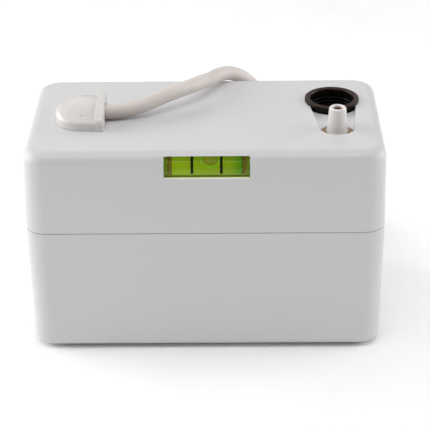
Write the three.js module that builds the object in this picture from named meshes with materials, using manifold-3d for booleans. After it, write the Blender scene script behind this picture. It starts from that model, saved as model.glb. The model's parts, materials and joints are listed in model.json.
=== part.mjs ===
// Small tank-type condensate pump: a water tank with a pump head standing in it.
// Millimetres, +Z up, +X along the 152 mm width, the front at -Y, the feet standing on z = 0.
import * as THREE from 'three';
import { mergeVertices } from 'three/addons/utils/BufferGeometryUtils.js';
import Module from 'manifold-3d';

const wasm = await Module();
wasm.setup();

// ---- driving dimensions -------------------------------------------------------------------------
const WIDTH = 152;
const DEPTH = 81;
const FOOT = 1.2; // how far the rubber feet stand out of the tank floor
const SEAM_Z = FOOT + 56.5; // where the head meets the tank
const TOP_Z = FOOT + 93;
const WALL = 2.4;
const GAP = 0.3; // clearance between pieces that touch
const CORNER_R = 9; // vertical corners
const TOP_EDGE_R = 5;
const BASE_EDGE_R = 4;
const LEAN = 0.6; // how far each wall leans in from the seam to the top or the floor

const PUMP = { x: -22, y: 3 }; // motor, shaft and impeller axis
const INLET = { x: 55.3, y: 14 }; // drain inlet axis
const OUTLET = { x: 56, y: -14.3 }; // discharge spigot axis
const FLOAT = { x: 30, y: -6 }; // float stem axis
const VIAL = { x: 1.2, y: -34.6, z: TOP_Z - 7.5 }; // middle of the level vial

const PLATE_Z = SEAM_Z + 0.2; // underside of the chassis plate
const PLATE_TOP = PLATE_Z + 2.5;
const POST = { x: 64, y: 29 }; // screw posts, one in each quarter

const SLEEVE_R = 11.8; // outside of the rubber sleeve's rim
const SLEEVE_BORE = 9.3;
const RECESS_DEPTH = 2;
const OUTLET_HOLE_R = 7.2;
const SPIGOT = { tip: 3.6, base: 4.4, bore: 2, rise: 9.2 };

const WINDOW = { x0: -16.6, x1: 18.9, z0: TOP_Z - 11.7, z1: TOP_Z - 1.5 };
const VIAL_R = 4.8;
const VIAL_HALF = 18.2;

const HOOD = { y: -4.8, x0: -64, x1: -44.8, half: 12, corner: 4.5, slope: 0.24 }; // its top rises to the back
const COLLAR = { x0: -45.7, x1: -42.4, half: 12.4, height: 7.9, corner: 4.5 };
const LEAD_START_X = COLLAR.x1 - 2; // where the free lead begins, inside the collar
const CORD_HOLE_X = -56; // where the cord goes down through the cover, under the hood
const CLAMP = { halfX: 7, halfY: 13, screwY: 9.5, z0: TOP_Z - 10.5, z1: TOP_Z - 6.5 };
const CORD_R = 3.25;
const CORD_RISE = 3.6; // the cord's axis over the cover where it leaves the hood
const COIL = { x: -29, y: 97, inner: 23.3, outer: 45.9, height: 13.1 };
const PLUG = { x: 17.8, y: 117.1, z: 8.8, heading: -53.13 }; // where the plug's boot starts, degrees from +X
const PINS = { y: 9.5, r: 2.4, wellR: 2.7, x: 50.6 }; // side, size and start of the plug's two pins
const TAIL = { r: 56, degrees: [6.6, 4.4, 2.2, 0] }; // the arc in which the cord reaches the plug

// ---- materials ----------------------------------------------------------------------------------
const finish = (color, roughness, metalness = 0) =>
  new THREE.MeshStandardMaterial({ color, roughness, metalness });
const WHITE = finish(0xe2e2e0, 0.35);
const IVORY = finish(0xd9d6cf, 0.5);
const BLACK_RUBBER = finish(0x1b1816, 0.4);
const GREY_RUBBER = finish(0x55565a, 0.8);
const TAN = finish(0xa48a6c, 0.6);
const CORD_WHITE = finish(0xd3cdca, 0.55);
const STEEL = finish(0x9a9c9f, 0.3, 0.9);
const COPPER = finish(0xb06a3c, 0.35, 0.9);
const BLACK = finish(0x202124, 0.5);
const BLUE = finish(0x2d5f9e, 0.5);
const GREEN = finish(0x2c6a42, 0.6);
const ACRYLIC = finish(0xd8e2a0, 0.1);
const FLUID = finish(0xa8c83a, 0.1);

// ---- geometry helpers ---------------------------------------------------------------------------
const v2 = (x, y) => new THREE.Vector2(x, y);
const v3 = (x, y, z) => new THREE.Vector3(x, y, z);

/** Shares vertices, drops triangles without area and turns the faces outwards. */
function closed(geometry) {
  geometry.deleteAttribute('normal');
  geometry.deleteAttribute('uv');
  const merged = mergeVertices(geometry, 1e-4);
  const position = merged.attributes.position;
  const index = merged.index.array;
  const kept = [];
  let volume = 0;
  for (let i = 0; i < index.length; i += 3) {
    const [a, b, c] = [index[i], index[i + 1], index[i + 2]];
    if (a === b || b === c || c === a) continue;
    kept.push(a, b, c);
    const [p, q, r] = [a, b, c].map((k) => new THREE.Vector3().fromBufferAttribute(position, k));
    volume += p.dot(q.cross(r));
  }
  if (volume < 0) kept.reverse();
  merged.setIndex(kept);
  return merged;
}

function toSolid(geometry) {
  const mesh = closed(geometry);
  return new wasm.Manifold(new wasm.Mesh({
    numProp: 3,
    vertProperties: new Float32Array(mesh.attributes.position.array),
    triVerts: new Uint32Array(mesh.index.array),
  }));
}

function toGeometry(solid) {
  const mesh = solid.getMesh();
  const geometry = new THREE.BufferGeometry();
  geometry.setAttribute('position', new THREE.BufferAttribute(new Float32Array(mesh.vertProperties), 3));
  geometry.setIndex(new THREE.BufferAttribute(new Uint32Array(mesh.triVerts), 1));
  return geometry;
}

/** base, with every geometry of `add` joined on and then every one of `cut` taken away. */
function shaped(base, { add = [], cut = [] }) {
  let solid = toSolid(base);
  for (const geometry of add) solid = solid.add(toSolid(geometry));
  for (const geometry of cut) solid = solid.subtract(toSolid(geometry));
  return toGeometry(solid);
}

const box = (x0, x1, y0, y1, z0, z1) =>
  new THREE.BoxGeometry(x1 - x0, y1 - y0, z1 - z0).translate((x0 + x1) / 2, (y0 + y1) / 2, (z0 + z1) / 2);

const rod = (x, y, z0, z1, r, segments = 12) =>
  new THREE.CylinderGeometry(r, r, z1 - z0, segments).rotateX(Math.PI / 2).translate(x, y, (z0 + z1) / 2);

/** A round bar along X. */
const bar = (x0, x1, y, z, r, segments = 12) =>
  new THREE.CylinderGeometry(r, r, x1 - x0, segments).rotateZ(Math.PI / 2).translate((x0 + x1) / 2, y, z);

/** Revolves [radius, height] pairs around Z; the profile starts and ends on the axis or closes on itself. */
const turned = (profile, segments = 18) =>
  new THREE.LatheGeometry(profile.map(([r, z]) => v2(r, z)), segments).rotateX(Math.PI / 2);

/** A turned ring: rectangular section between two radii and two heights. */
const ring = (inner, outer, z0, z1, segments = 18) =>
  turned([[inner, z0], [outer, z0], [outer, z1], [inner, z1], [inner, z0]], segments);

const extruded = (shape, z0, z1, curveSegments = 4) => {
  const options = { depth: z1 - z0, bevelEnabled: false, curveSegments };
  return new THREE.ExtrudeGeometry(shape, options).translate(0, 0, z0);
};

/** A solid round tube along a curve. */
function tube(path, radius, sides, steps) {
  const section = new THREE.Shape();
  for (let i = 0; i < sides; i += 1) {
    const a = (i * 2 * Math.PI) / sides;
    section[i ? 'lineTo' : 'moveTo'](radius * Math.cos(a), radius * Math.sin(a));
  }
  return new THREE.ExtrudeGeometry(section, { steps, extrudePath: path, bevelEnabled: false });
}

/** Outline of a rectangle with round corners, as a shape. */
function roundedShape(halfX, halfY, r, Kind = THREE.Shape) {
  const shape = new Kind();
  shape.absarc(halfX - r, halfY - r, r, 0, Math.PI / 2);
  shape.absarc(-halfX + r, halfY - r, r, Math.PI / 2, Math.PI);
  shape.absarc(-halfX + r, -halfY + r, r, Math.PI, 1.5 * Math.PI);
  shape.absarc(halfX - r, -halfY + r, r, 1.5 * Math.PI, 2 * Math.PI);
  shape.closePath();
  return shape;
}

/** A closed stack of outlines: each level is { z, points } and all have as many points. */
function lofted(levels) {
  const count = levels[0].points.length;
  const positions = levels.flatMap(({ z, points }) => points.flatMap((p) => [p.x, p.y, z]));
  const index = [];
  for (let level = 0; level + 1 < levels.length; level += 1) {
    for (let i = 0; i < count; i += 1) {
      const a = level * count + i;
      const b = level * count + ((i + 1) % count);
      index.push(a, b, b + count, a, b + count, a + count);
    }
  }
  const last = (levels.length - 1) * count;
  for (let i = 1; i + 1 < count; i += 1) index.push(0, i + 1, i, last, last + i, last + i + 1);
  const geometry = new THREE.BufferGeometry();
  geometry.setAttribute('position', new THREE.Float32BufferAttribute(positions, 3));
  geometry.setIndex(index);
  return geometry;
}

const roundedPoints = (halfX, halfY, r, segments = 4) =>
  [[1, 1, 0], [-1, 1, 1], [-1, -1, 2], [1, -1, 3]].flatMap(([sx, sy, quarter]) =>
    Array.from({ length: segments + 1 }, (_, i) => {
      const a = ((quarter + i / segments) * Math.PI) / 2;
      return v2(sx * (halfX - r) + r * Math.cos(a), sy * (halfY - r) + r * Math.sin(a));
    }));

/** One half of the casing as a solid block, `inset` inside its outer skin, with its far edge rounded. */
function casingBlock(seamZ, farZ, edgeR, inset) {
  const up = Math.sign(farZ - seamZ);
  const end = farZ - up * inset;
  const radius = edgeR - inset;
  const level = (z, extra) => {
    const side = inset + extra + (LEAN * Math.abs(z - SEAM_Z)) / Math.abs(farZ - SEAM_Z);
    return { z, points: roundedPoints(WIDTH / 2 - side, DEPTH / 2 - side, CORNER_R - inset - extra * 0.5) };
  };
  const steps = 4;
  const levels = [level(seamZ, 0)];
  for (let i = 0; i <= steps; i += 1) {
    const a = (i / steps) * (Math.PI / 2);
    levels.push(level(end - up * radius * (1 - Math.sin(a)), radius * (1 - Math.cos(a))));
  }
  return lofted(up > 0 ? levels : levels.reverse());
}

const EACH_CORNER = [[-1, -1], [1, -1], [1, 1], [-1, 1]];

// ---- scene graph --------------------------------------------------------------------------------
const pump = new THREE.Group();
const tank = new THREE.Group();
const head = new THREE.Group();
pump.add(tank, head);

function piece(parent, name, geometry, material, position = v3(0, 0, 0)) {
  const mesh = new THREE.Mesh(closed(geometry), material);
  mesh.name = name;
  mesh.position.copy(position);
  mesh.geometry.computeVertexNormals();
  parent.add(mesh);
  return mesh;
}

function station(parent, { x, y }, z = 0) {
  const group = new THREE.Group();
  group.position.set(x, y, z);
  parent.add(group);
  return group;
}

// ---- tank ---------------------------------------------------------------------------------------
const LEDGE_Z = SEAM_Z - 2.7; // the seal's seat, just under the rim
const FOOT_R = 6;
const FOOT_AT = { x: 58, y: 26 };

function makeTank() {
  const outside = casingBlock(SEAM_Z - GAP / 2, FOOT, BASE_EDGE_R, 0);
  const inside = casingBlock(SEAM_Z + 5, FOOT, BASE_EDGE_R, WALL);
  const ledgeShape = roundedShape(WIDTH / 2 - 1.4, DEPTH / 2 - 1.4, CORNER_R - 1.4);
  ledgeShape.holes.push(roundedShape(WIDTH / 2 - 4.4, DEPTH / 2 - 4.4, CORNER_R - 4.4, THREE.Path));
  const ledge = extruded(ledgeShape, LEDGE_Z - 2.2, LEDGE_Z);
  let solid = toSolid(outside).subtract(toSolid(inside)).add(toSolid(ledge));
  for (const [sx, sy] of EACH_CORNER) {
    solid = solid.subtract(toSolid(rod(sx * FOOT_AT.x, sy * FOOT_AT.y, 0, FOOT + 0.9, FOOT_R + GAP)));
  }
  piece(tank, 'reservoir', toGeometry(solid), WHITE);
  EACH_CORNER.forEach(([sx, sy], i) => {
    const profile = [[0, 0], [FOOT_R - 0.6, 0], [FOOT_R, 0.6], [FOOT_R, FOOT + 0.6], [0, FOOT + 0.6]];
    const foot = turned(profile, 14);
    piece(tank, `foot_${i + 1}`, foot, GREY_RUBBER, v3(sx * FOOT_AT.x, sy * FOOT_AT.y, 0));
  });

  const seal = roundedShape(WIDTH / 2 - 2.7, DEPTH / 2 - 2.7, CORNER_R - 2.7);
  seal.holes.push(roundedShape(WIDTH / 2 - 4.2, DEPTH / 2 - 4.2, CORNER_R - 4.2, THREE.Path));
  piece(tank, 'tank_seal', extruded(seal, LEDGE_Z + GAP, PLATE_Z - GAP), GREY_RUBBER);
}

// ---- top cover ----------------------------------------------------------------------------------
/** Teardrop around the sleeve and the spigot, `grow` outside the recess wall, in row coordinates. */
function teardrop(grow) {
  const small = OUTLET_HOLE_R + grow;
  const large = SLEEVE_R - 1.4 + grow;
  const dx = INLET.x - OUTLET.x;
  const dy = INLET.y - OUTLET.y;
  const along = Math.atan2(dy, dx);
  // the angle at which the straight sides touch both rounds
  const spread = Math.acos((small - large) / Math.hypot(dx, dy));
  const shape = new THREE.Shape();
  shape.absarc(OUTLET.x, OUTLET.y, small, along + spread, along - spread + 2 * Math.PI);
  shape.absarc(INLET.x, INLET.y, large, along - spread, along + spread);
  shape.closePath();
  return shape;
}

function makeCover() {
  const outside = casingBlock(SEAM_Z + GAP / 2, TOP_Z, TOP_EDGE_R, 0);
  const inside = casingBlock(SEAM_Z - 5, TOP_Z, TOP_EDGE_R, WALL);
  let solid = toSolid(outside).subtract(toSolid(inside));
  for (const [sx, sy] of EACH_CORNER) {
    solid = solid.add(toSolid(rod(sx * POST.x, sy * POST.y, PLATE_TOP + GAP, TOP_Z - 1, 3.5, 10)));
  }
  for (const dy of [-CLAMP.screwY, CLAMP.screwY]) {
    solid = solid.add(toSolid(rod(CORD_HOLE_X, HOOD.y + dy, CLAMP.z1 + GAP, TOP_Z - 1, 3, 10)));
  }
  solid = solid.add(toSolid(extruded(teardrop(2), TOP_Z - 5, TOP_Z - 1, 8)));
  const cuts = [
    extruded(teardrop(0), TOP_Z - RECESS_DEPTH, TOP_Z + 1, 10),
    rod(INLET.x, INLET.y, TOP_Z - 9, TOP_Z + 1, SLEEVE_R - GAP, 24),
    rod(OUTLET.x, OUTLET.y, TOP_Z - 9, TOP_Z + 1, OUTLET_HOLE_R, 20),
    box(WINDOW.x0, WINDOW.x1, -DEPTH, -35.5, WINDOW.z0, WINDOW.z1),
    bar(VIAL.x - VIAL_HALF - GAP, VIAL.x + VIAL_HALF + GAP, VIAL.y, VIAL.z, VIAL_R + GAP, 16),
    rod(CORD_HOLE_X, HOOD.y, TOP_Z - 9, TOP_Z + 1, 5, 12),
    ...EACH_CORNER.map(([sx, sy]) => rod(sx * POST.x, sy * POST.y, PLATE_TOP, PLATE_TOP + 13, 1.5, 8)),
    ...[-CLAMP.screwY, CLAMP.screwY].map((dy) =>
      rod(CORD_HOLE_X, HOOD.y + dy, CLAMP.z1, CLAMP.z1 + 3.4, 1.3, 8)),
  ];
  for (const cut of cuts) solid = solid.subtract(toSolid(cut));
  piece(head, 'top_cover', toGeometry(solid), WHITE);
}

// ---- chassis plate ------------------------------------------------------------------------------
const BOARD = { x0: 4, x1: 40, y0: 9, y1: 36, z0: PLATE_TOP + 5.4, thick: 1.6 };
const DELIVERY_X = 12; // where the delivery hose goes up through the plate

function makeChassis() {
  const lip = roundedShape(WIDTH / 2 - 4.8, DEPTH / 2 - 4.8, CORNER_R - 4.8);
  lip.holes.push(roundedShape(WIDTH / 2 - 6.4, DEPTH / 2 - 6.4, 2.6, THREE.Path));
  const boardPosts = [BOARD.x0 + 4, BOARD.x1 - 4].flatMap((x) =>
    [BOARD.y0 + 4, BOARD.y1 - 4].map((y) => rod(x, y, PLATE_TOP - 1, BOARD.z0 - GAP, 2.4, 8)));
  const plate = extruded(roundedShape(WIDTH / 2 - 2.9, DEPTH / 2 - 2.9, CORNER_R - 2.9), PLATE_Z, PLATE_TOP);
  const geometry = shaped(plate, {
    add: [extruded(lip, LEDGE_Z - 2, PLATE_Z + 1), ...boardPosts],
    cut: [
      rod(INLET.x, INLET.y, PLATE_Z - 1, PLATE_TOP + 1, SLEEVE_R + 1.6, 20),
      rod(PUMP.x, PUMP.y, PLATE_Z - 1, PLATE_TOP + 1, 5, 12),
      rod(FLOAT.x, FLOAT.y, PLATE_Z - 1, PLATE_TOP + 1, 3.4, 12),
      rod(DELIVERY_X, PUMP.y, PLATE_Z - 1, PLATE_TOP + 1, 4, 12),
      ...EACH_CORNER.map(([sx, sy]) => rod(sx * POST.x, sy * POST.y, PLATE_Z - 1, PLATE_TOP + 1, 1.7, 8)),
    ],
  });
  piece(head, 'chassis_plate', geometry, IVORY);
  EACH_CORNER.forEach(([sx, sy], i) => {
    const at = v3(sx * POST.x, sy * POST.y, PLATE_Z - GAP);
    piece(head, `chassis_screw_${i + 1}`, screw(3, 2.2, 1.2, 13), STEEL, at);
  });
}

/** Pan-head screw pointing up, its bearing face at z = 0 and a cross slot in its head. */
function screw(headR, headHeight, shankR, length) {
  const body = turned([[0, -headHeight], [headR * 0.7, -headHeight], [headR, -headHeight * 0.5], [headR, 0],
    [shankR, 0], [shankR, length - shankR], [0, length]], 10);
  const slot = headR * 0.55;
  return shaped(body, {
    cut: [
      box(-slot, slot, -0.3, 0.3, -headHeight - 1, -headHeight * 0.5),
      box(-0.3, 0.3, -slot, slot, -headHeight - 1, -headHeight * 0.5),
    ],
  });
}

// ---- cord hood and the cord ---------------------------------------------------------------------
/** Plan of the hood: round at its left end, with two round corners beside the collar. */
function hoodOutline(inset) {
  const half = HOOD.half - inset;
  const x1 = HOOD.x1 - inset * 0.3;
  const corner = Math.min(HOOD.corner + inset * 0.3, half);
  const arc = (x, y, r, from, to, steps) => Array.from({ length: steps + 1 }, (_, i) => {
    const a = (from + ((to - from) * i) / steps) * Math.PI;
    return v2(x + r * Math.cos(a), y + r * Math.sin(a));
  });
  return [
    ...arc(HOOD.x0 + HOOD.half, HOOD.y, half, 0.5, 1.5, 10),
    ...arc(x1 - corner, HOOD.y - half + corner, corner, 1.5, 2, 3),
    ...arc(x1 - corner, HOOD.y + half - corner, corner, 0, 0.5, 3),
  ];
}

/** Makes the heights over the cover grow towards the back. */
function sloped(geometry) {
  const at = geometry.attributes.position;
  for (let i = 0; i < at.count; i += 1) {
    const factor = 1 + (HOOD.slope * (at.getY(i) - HOOD.y)) / HOOD.half;
    at.setZ(i, TOP_Z + (at.getZ(i) - TOP_Z) * factor);
  }
  return geometry;
}

function makeHood() {
  const base = TOP_Z + 0.1;
  const crown = [[0, 0], [3.9, 0.15], [5.1, 0.7], [6.1, 1.9], [6.7, 3.6], [7, 6.4], [7.1, 9.2]];
  const dome = lofted(crown.map(([z, inset]) => ({ z: base + z, points: hoodOutline(inset) })));
  const hollow = lofted([[-1, 1.8], [3.2, 2.1], [4.6, 3.4], [5.4, 6]].map(([z, inset]) =>
    ({ z: base + z, points: hoodOutline(inset) })));
  const arch = new THREE.Shape();
  const flat = COLLAR.half - COLLAR.corner;
  const shoulder = COLLAR.height - COLLAR.corner;
  arch.moveTo(-COLLAR.half, 0);
  arch.lineTo(COLLAR.half, 0);
  arch.lineTo(COLLAR.half, shoulder);
  arch.absarc(flat, shoulder, COLLAR.corner, 0, Math.PI / 2);
  arch.absarc(-flat, shoulder, COLLAR.corner, Math.PI / 2, Math.PI);
  arch.closePath();
  const collar = extruded(arch, 0, COLLAR.x1 - COLLAR.x0)
    .rotateX(Math.PI / 2).rotateZ(Math.PI / 2).translate(COLLAR.x0, HOOD.y, base);
  const mouth = bar(LEAD_START_X - 1, COLLAR.x1 + 1, HOOD.y, TOP_Z + CORD_RISE, CORD_R + GAP, 14);
  const throat = bar(CORD_HOLE_X - 2, LEAD_START_X, HOOD.y, TOP_Z + CORD_RISE - 0.6, CORD_R - 0.3, 14);
  const hood = shaped(sloped(dome), { add: [sloped(collar)], cut: [sloped(hollow), mouth, throat] });
  piece(head, 'cord_hood', hood, CORD_WHITE);
}

/** Inner end of the cord: from the collar back into the hood and down through the cover. */
function makeCordStub() {
  const z = TOP_Z + CORD_RISE - 0.6;
  const bend = 6.5;
  const path = new THREE.CurvePath();
  path.add(new THREE.LineCurve3(v3(LEAD_START_X - GAP, HOOD.y, z), v3(CORD_HOLE_X + bend, HOOD.y, z)));
  path.add(new THREE.QuadraticBezierCurve3(v3(CORD_HOLE_X + bend, HOOD.y, z), v3(CORD_HOLE_X, HOOD.y, z),
    v3(CORD_HOLE_X, HOOD.y, z - bend)));
  path.add(new THREE.LineCurve3(v3(CORD_HOLE_X, HOOD.y, z - bend), v3(CORD_HOLE_X, HOOD.y, TOP_Z - 15)));
  piece(head, 'cord_stub', tube(path, CORD_R - 0.65, 8, 12), CORD_WHITE);
}

function makeCordClamp() {
  const plate = box(-CLAMP.halfX, CLAMP.halfX, -CLAMP.halfY, CLAMP.halfY, CLAMP.z0, CLAMP.z1);
  const at = station(head, { x: CORD_HOLE_X, y: HOOD.y });
  const cut = [rod(0, 0, CLAMP.z0 - 1, CLAMP.z1 + 1, CORD_R, 12)];
  for (const dy of [-CLAMP.screwY, CLAMP.screwY]) cut.push(rod(0, dy, CLAMP.z0 - 1, CLAMP.z1 + 1, 1.4, 8));
  piece(at, 'cord_clamp', shaped(plate, { cut }), BLACK);
  [-CLAMP.screwY, CLAMP.screwY].forEach((dy, i) => {
    piece(at, `clamp_screw_${i + 1}`, screw(2.6, 1.8, 1, 7), STEEL, v3(0, dy, CLAMP.z0 - GAP));
  });
}

/** The free lead: over the cover, over its back edge and down to the table, as far as the coil. */
function makeCordLead() {
  const top = (x, y, rise) => v3(x, y, TOP_Z + rise);
  const route = new THREE.CatmullRomCurve3([
    top(LEAD_START_X, HOOD.y, CORD_RISE), top(-39.5, -4.6, CORD_RISE), top(-34.3, -3.6, 3.9),
    top(-26.7, -1.7, 5.1), top(-19.7, 1.8, 6.8), top(-12.7, 6.5, 7.8), top(-5.9, 12.5, 7.9),
    top(-1.1, 20.1, 6.7), top(2, 26.8, 4.9), top(6.3, 34.4, 4), top(11.3, 39.9, 2.1),
    top(16.3, 43.4, -1.4), top(21.9, 45.7, -7.9), top(24.8, 46.7, -15.3), v3(24.6, 47.5, 67.2),
    v3(20.5, 48.8, 52.2), v3(13.8, 49.8, 36.7), v3(7, 50.5, 21.6), v3(-0.9, 51, 10.6), v3(-9.2, 51.4, 5.2),
  ], false, 'centripetal');
  piece(head, 'cord_lead', tube(route, CORD_R, 8, 34), CORD_WHITE);
}

function makeCoil() {
  const { inner, outer, height } = COIL;
  const ease = 2.5;
  const coil = turned([[inner, ease], [inner + ease, 0.05], [outer - ease, 0.05], [outer, ease],
    [outer, height - ease], [outer - ease, height], [inner + ease, height], [inner, height - ease],
    [inner, ease]], 24);
  piece(tank, 'cord_coil', coil, CORD_WHITE, v3(COIL.x, COIL.y, 0));
}

/** Plug on the cord's far end, lying flat; its own +X runs from the boot to the pins. */
function makePlug() {
  const at = station(tank, PLUG, PLUG.z);
  at.rotation.z = THREE.MathUtils.degToRad(PLUG.heading);
  const arc = new THREE.CatmullRomCurve3(TAIL.degrees.map((degrees) => {
    const a = THREE.MathUtils.degToRad(degrees);
    return v3(-TAIL.r * Math.sin(a), -TAIL.r * (1 - Math.cos(a)), 0);
  }));
  piece(at, 'cord_tail', tube(arc, CORD_R, 10, 3), CORD_WHITE);

  const boot = turned([[0, 0], [4.4, 0], [6.2, 21.7], [0, 21.7]], 12).rotateY(Math.PI / 2);
  piece(at, 'plug_boot', boot, CORD_WHITE, v3(GAP, 0, 0));

  const half = { wide: 13, thick: 8.6 };
  const shell = lofted([[0, 0.66, 0.8], [3, 0.8, 0.9], [12, 0.94, 1], [30, 1, 1], [34, 0.96, 0.94]].map(
    ([z, wide, thick]) => ({ z, points: roundedPoints(half.thick * thick, half.wide * wide, 6) })));
  const wells = [-PINS.y, PINS.y].map((y) => bar(28, 35, y, 0, PINS.wellR, 10));
  piece(at, 'plug_body', shaped(shell.rotateY(Math.PI / 2), { cut: wells }), CORD_WHITE, v3(22.3, 0, 0));
  [-PINS.y, PINS.y].forEach((y, i) => {
    const pin = turned([[0, 0], [PINS.r, 0], [PINS.r, 22.6], [PINS.r - 0.8, 24], [0, 24]], 10);
    piece(at, `plug_pin_${i + 1}`, pin.rotateY(Math.PI / 2), STEEL, v3(PINS.x, y, 0));
  });
}

// ---- level vial ---------------------------------------------------------------------------------
function makeLevel() {
  const at = new THREE.Group();
  at.position.set(VIAL.x, VIAL.y, VIAL.z);
  head.add(at);
  const plugLength = 3.4;
  const boreR = VIAL_R - 0.9;
  const alongX = (geometry) => geometry.rotateY(Math.PI / 2);
  piece(at, 'level_vial', alongX(ring(boreR, VIAL_R, -VIAL_HALF, VIAL_HALF, 18)), ACRYLIC);
  for (const [side, name] of [[-1, 'vial_end_left'], [1, 'vial_end_right']]) {
    const near = side * (VIAL_HALF - plugLength);
    const far = side * VIAL_HALF;
    const end = bar(Math.min(near, far), Math.max(near, far), 0, 0, boreR - GAP, 14);
    piece(at, name, end, ACRYLIC);
  }
  const chamber = VIAL_HALF - plugLength - GAP;
  const bubble = new THREE.SphereGeometry(1, 12, 8).scale(3.8, 3.1, 2.7).translate(1.3, 0, boreR - 1.4);
  piece(at, 'vial_fluid', shaped(bar(-chamber, chamber, 0, 0, boreR - GAP, 18), { cut: [bubble] }), FLUID);
  for (const [x, name] of [[-6.2, 'vial_mark_left'], [5.9, 'vial_mark_right']]) {
    piece(at, name, alongX(ring(VIAL_R + 0.08, VIAL_R + 0.3, x - 0.5, x + 0.5, 16)), BLACK);
  }
  const cradle = shaped(box(-21, 21, -1.2, 6.6, -6, 4.7), {
    cut: [
      bar(-19, 19, 0, 0, VIAL_R + 0.55, 18),
      box(-30, 30, -2, 0, -6.5, -1.5),
      box(-VIAL_HALF, VIAL_HALF, -2, 0, -7, 7),
    ],
  });
  piece(at, 'level_cradle', cradle, WHITE);
}

// ---- inlet --------------------------------------------------------------------------------------
function makeInlet() {
  const at = station(head, INLET);
  const top = TOP_Z;
  const skirtR = SLEEVE_R - 0.8;
  const sleeve = turned([
    [SLEEVE_BORE + 0.3, top - 26], [skirtR, top - 26], [skirtR, top + 0.3], [SLEEVE_R, top + 0.45],
    [SLEEVE_R, top + 1.1], [SLEEVE_R - 0.6, top + 1.9], [SLEEVE_R - 1.6, top + 1.9],
    [SLEEVE_BORE + 0.4, top + 1.6], [SLEEVE_BORE, top + 0.8], [SLEEVE_BORE, top - 8],
    [SLEEVE_BORE - 1, top - 9], [SLEEVE_BORE - 1, top - 16], [SLEEVE_BORE + 0.3, top - 17],
    [SLEEVE_BORE + 0.3, top - 26],
  ], 24);
  piece(at, 'inlet_sleeve', sleeve, BLACK_RUBBER);

  const ductR = SLEEVE_R + 1.2;
  const floorZ = 50;
  const shelfZ = floorZ + 3; // the filter's seat
  const duct = turned([
    [ductR - 4.5, floorZ], [ductR, floorZ], [ductR, top - 5.4], [ductR - 1.7, top - 5.4],
    [ductR - 1.7, shelfZ], [ductR - 4.5, shelfZ], [ductR - 4.5, floorZ],
  ], 20);
  piece(at, 'inlet_duct', duct, IVORY);

  const filterR = ductR - 2.1;
  const filterZ = shelfZ + GAP;
  const slots = [-6, -3, 0, 3, 6].map((y) => box(-7.2, 7.2, y - 0.8, y + 0.8, floorZ, shelfZ + 3));
  const basket = turned([[0, filterZ], [filterR, filterZ], [filterR, 62], [filterR - 1.2, 62],
    [filterR - 1.2, filterZ + 1.3], [0, filterZ + 1.3]], 20);
  piece(at, 'inlet_filter', shaped(basket, { cut: slots }), BLACK);
}

// ---- outlet and check valve ---------------------------------------------------------------------
const VALVE = { z0: PLATE_TOP + 0.8, seat: 68.5, z1: 80, outer: 6.5, bore: 4.1 };
const BALL_R = 3;
const STUB_Z = 65.2; // the delivery hose's height at the valve

function makeOutlet() {
  const at = station(head, OUTLET);
  const { tip, base, bore, rise } = SPIGOT;
  const spigot = turned([
    [bore, VALVE.z1 + GAP], [VALVE.outer, VALVE.z1 + GAP], [VALVE.outer, VALVE.z1 + 3],
    [base + 0.2, VALVE.z1 + 3.6], [base, TOP_Z], [tip, TOP_Z + rise - 0.3], [tip - 0.3, TOP_Z + rise],
    [bore, TOP_Z + rise], [bore, VALVE.z1 + GAP],
  ], 18);
  piece(at, 'outlet_spigot', spigot, WHITE);
  piece(at, 'outlet_grommet', ring(base + 0.35, OUTLET_HOLE_R - GAP, TOP_Z - 5, TOP_Z - 2.6, 20), TAN);

  const column = turned([
    [0, VALVE.z0], [VALVE.outer, VALVE.z0], [VALVE.outer, VALVE.z1], [VALVE.bore, VALVE.z1],
    [VALVE.bore, VALVE.seat], [1.8, VALVE.seat], [1.8, STUB_Z - 2.4], [0, STUB_Z - 2.4],
  ], 16);
  const body = shaped(column, {
    add: [bar(-11, -5.5, 0, STUB_Z, 3)],
    cut: [bar(-12, 0, 0, STUB_Z, 1.8, 10)],
  });
  piece(at, 'valve_body', body, IVORY);
  const ballRest = VALVE.seat + Math.sqrt(BALL_R ** 2 - 1.8 ** 2) + 0.05;
  const ball = new THREE.SphereGeometry(BALL_R, 12, 8).rotateX(Math.PI / 2);
  piece(at, 'check_ball', ball, STEEL, v3(0, 0, ballRest));
}

// ---- pump column --------------------------------------------------------------------------------
const VOLUTE = { r: 17, z0: 8, z1: 22, outletZ: 14.5, stub: 24 };

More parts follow.
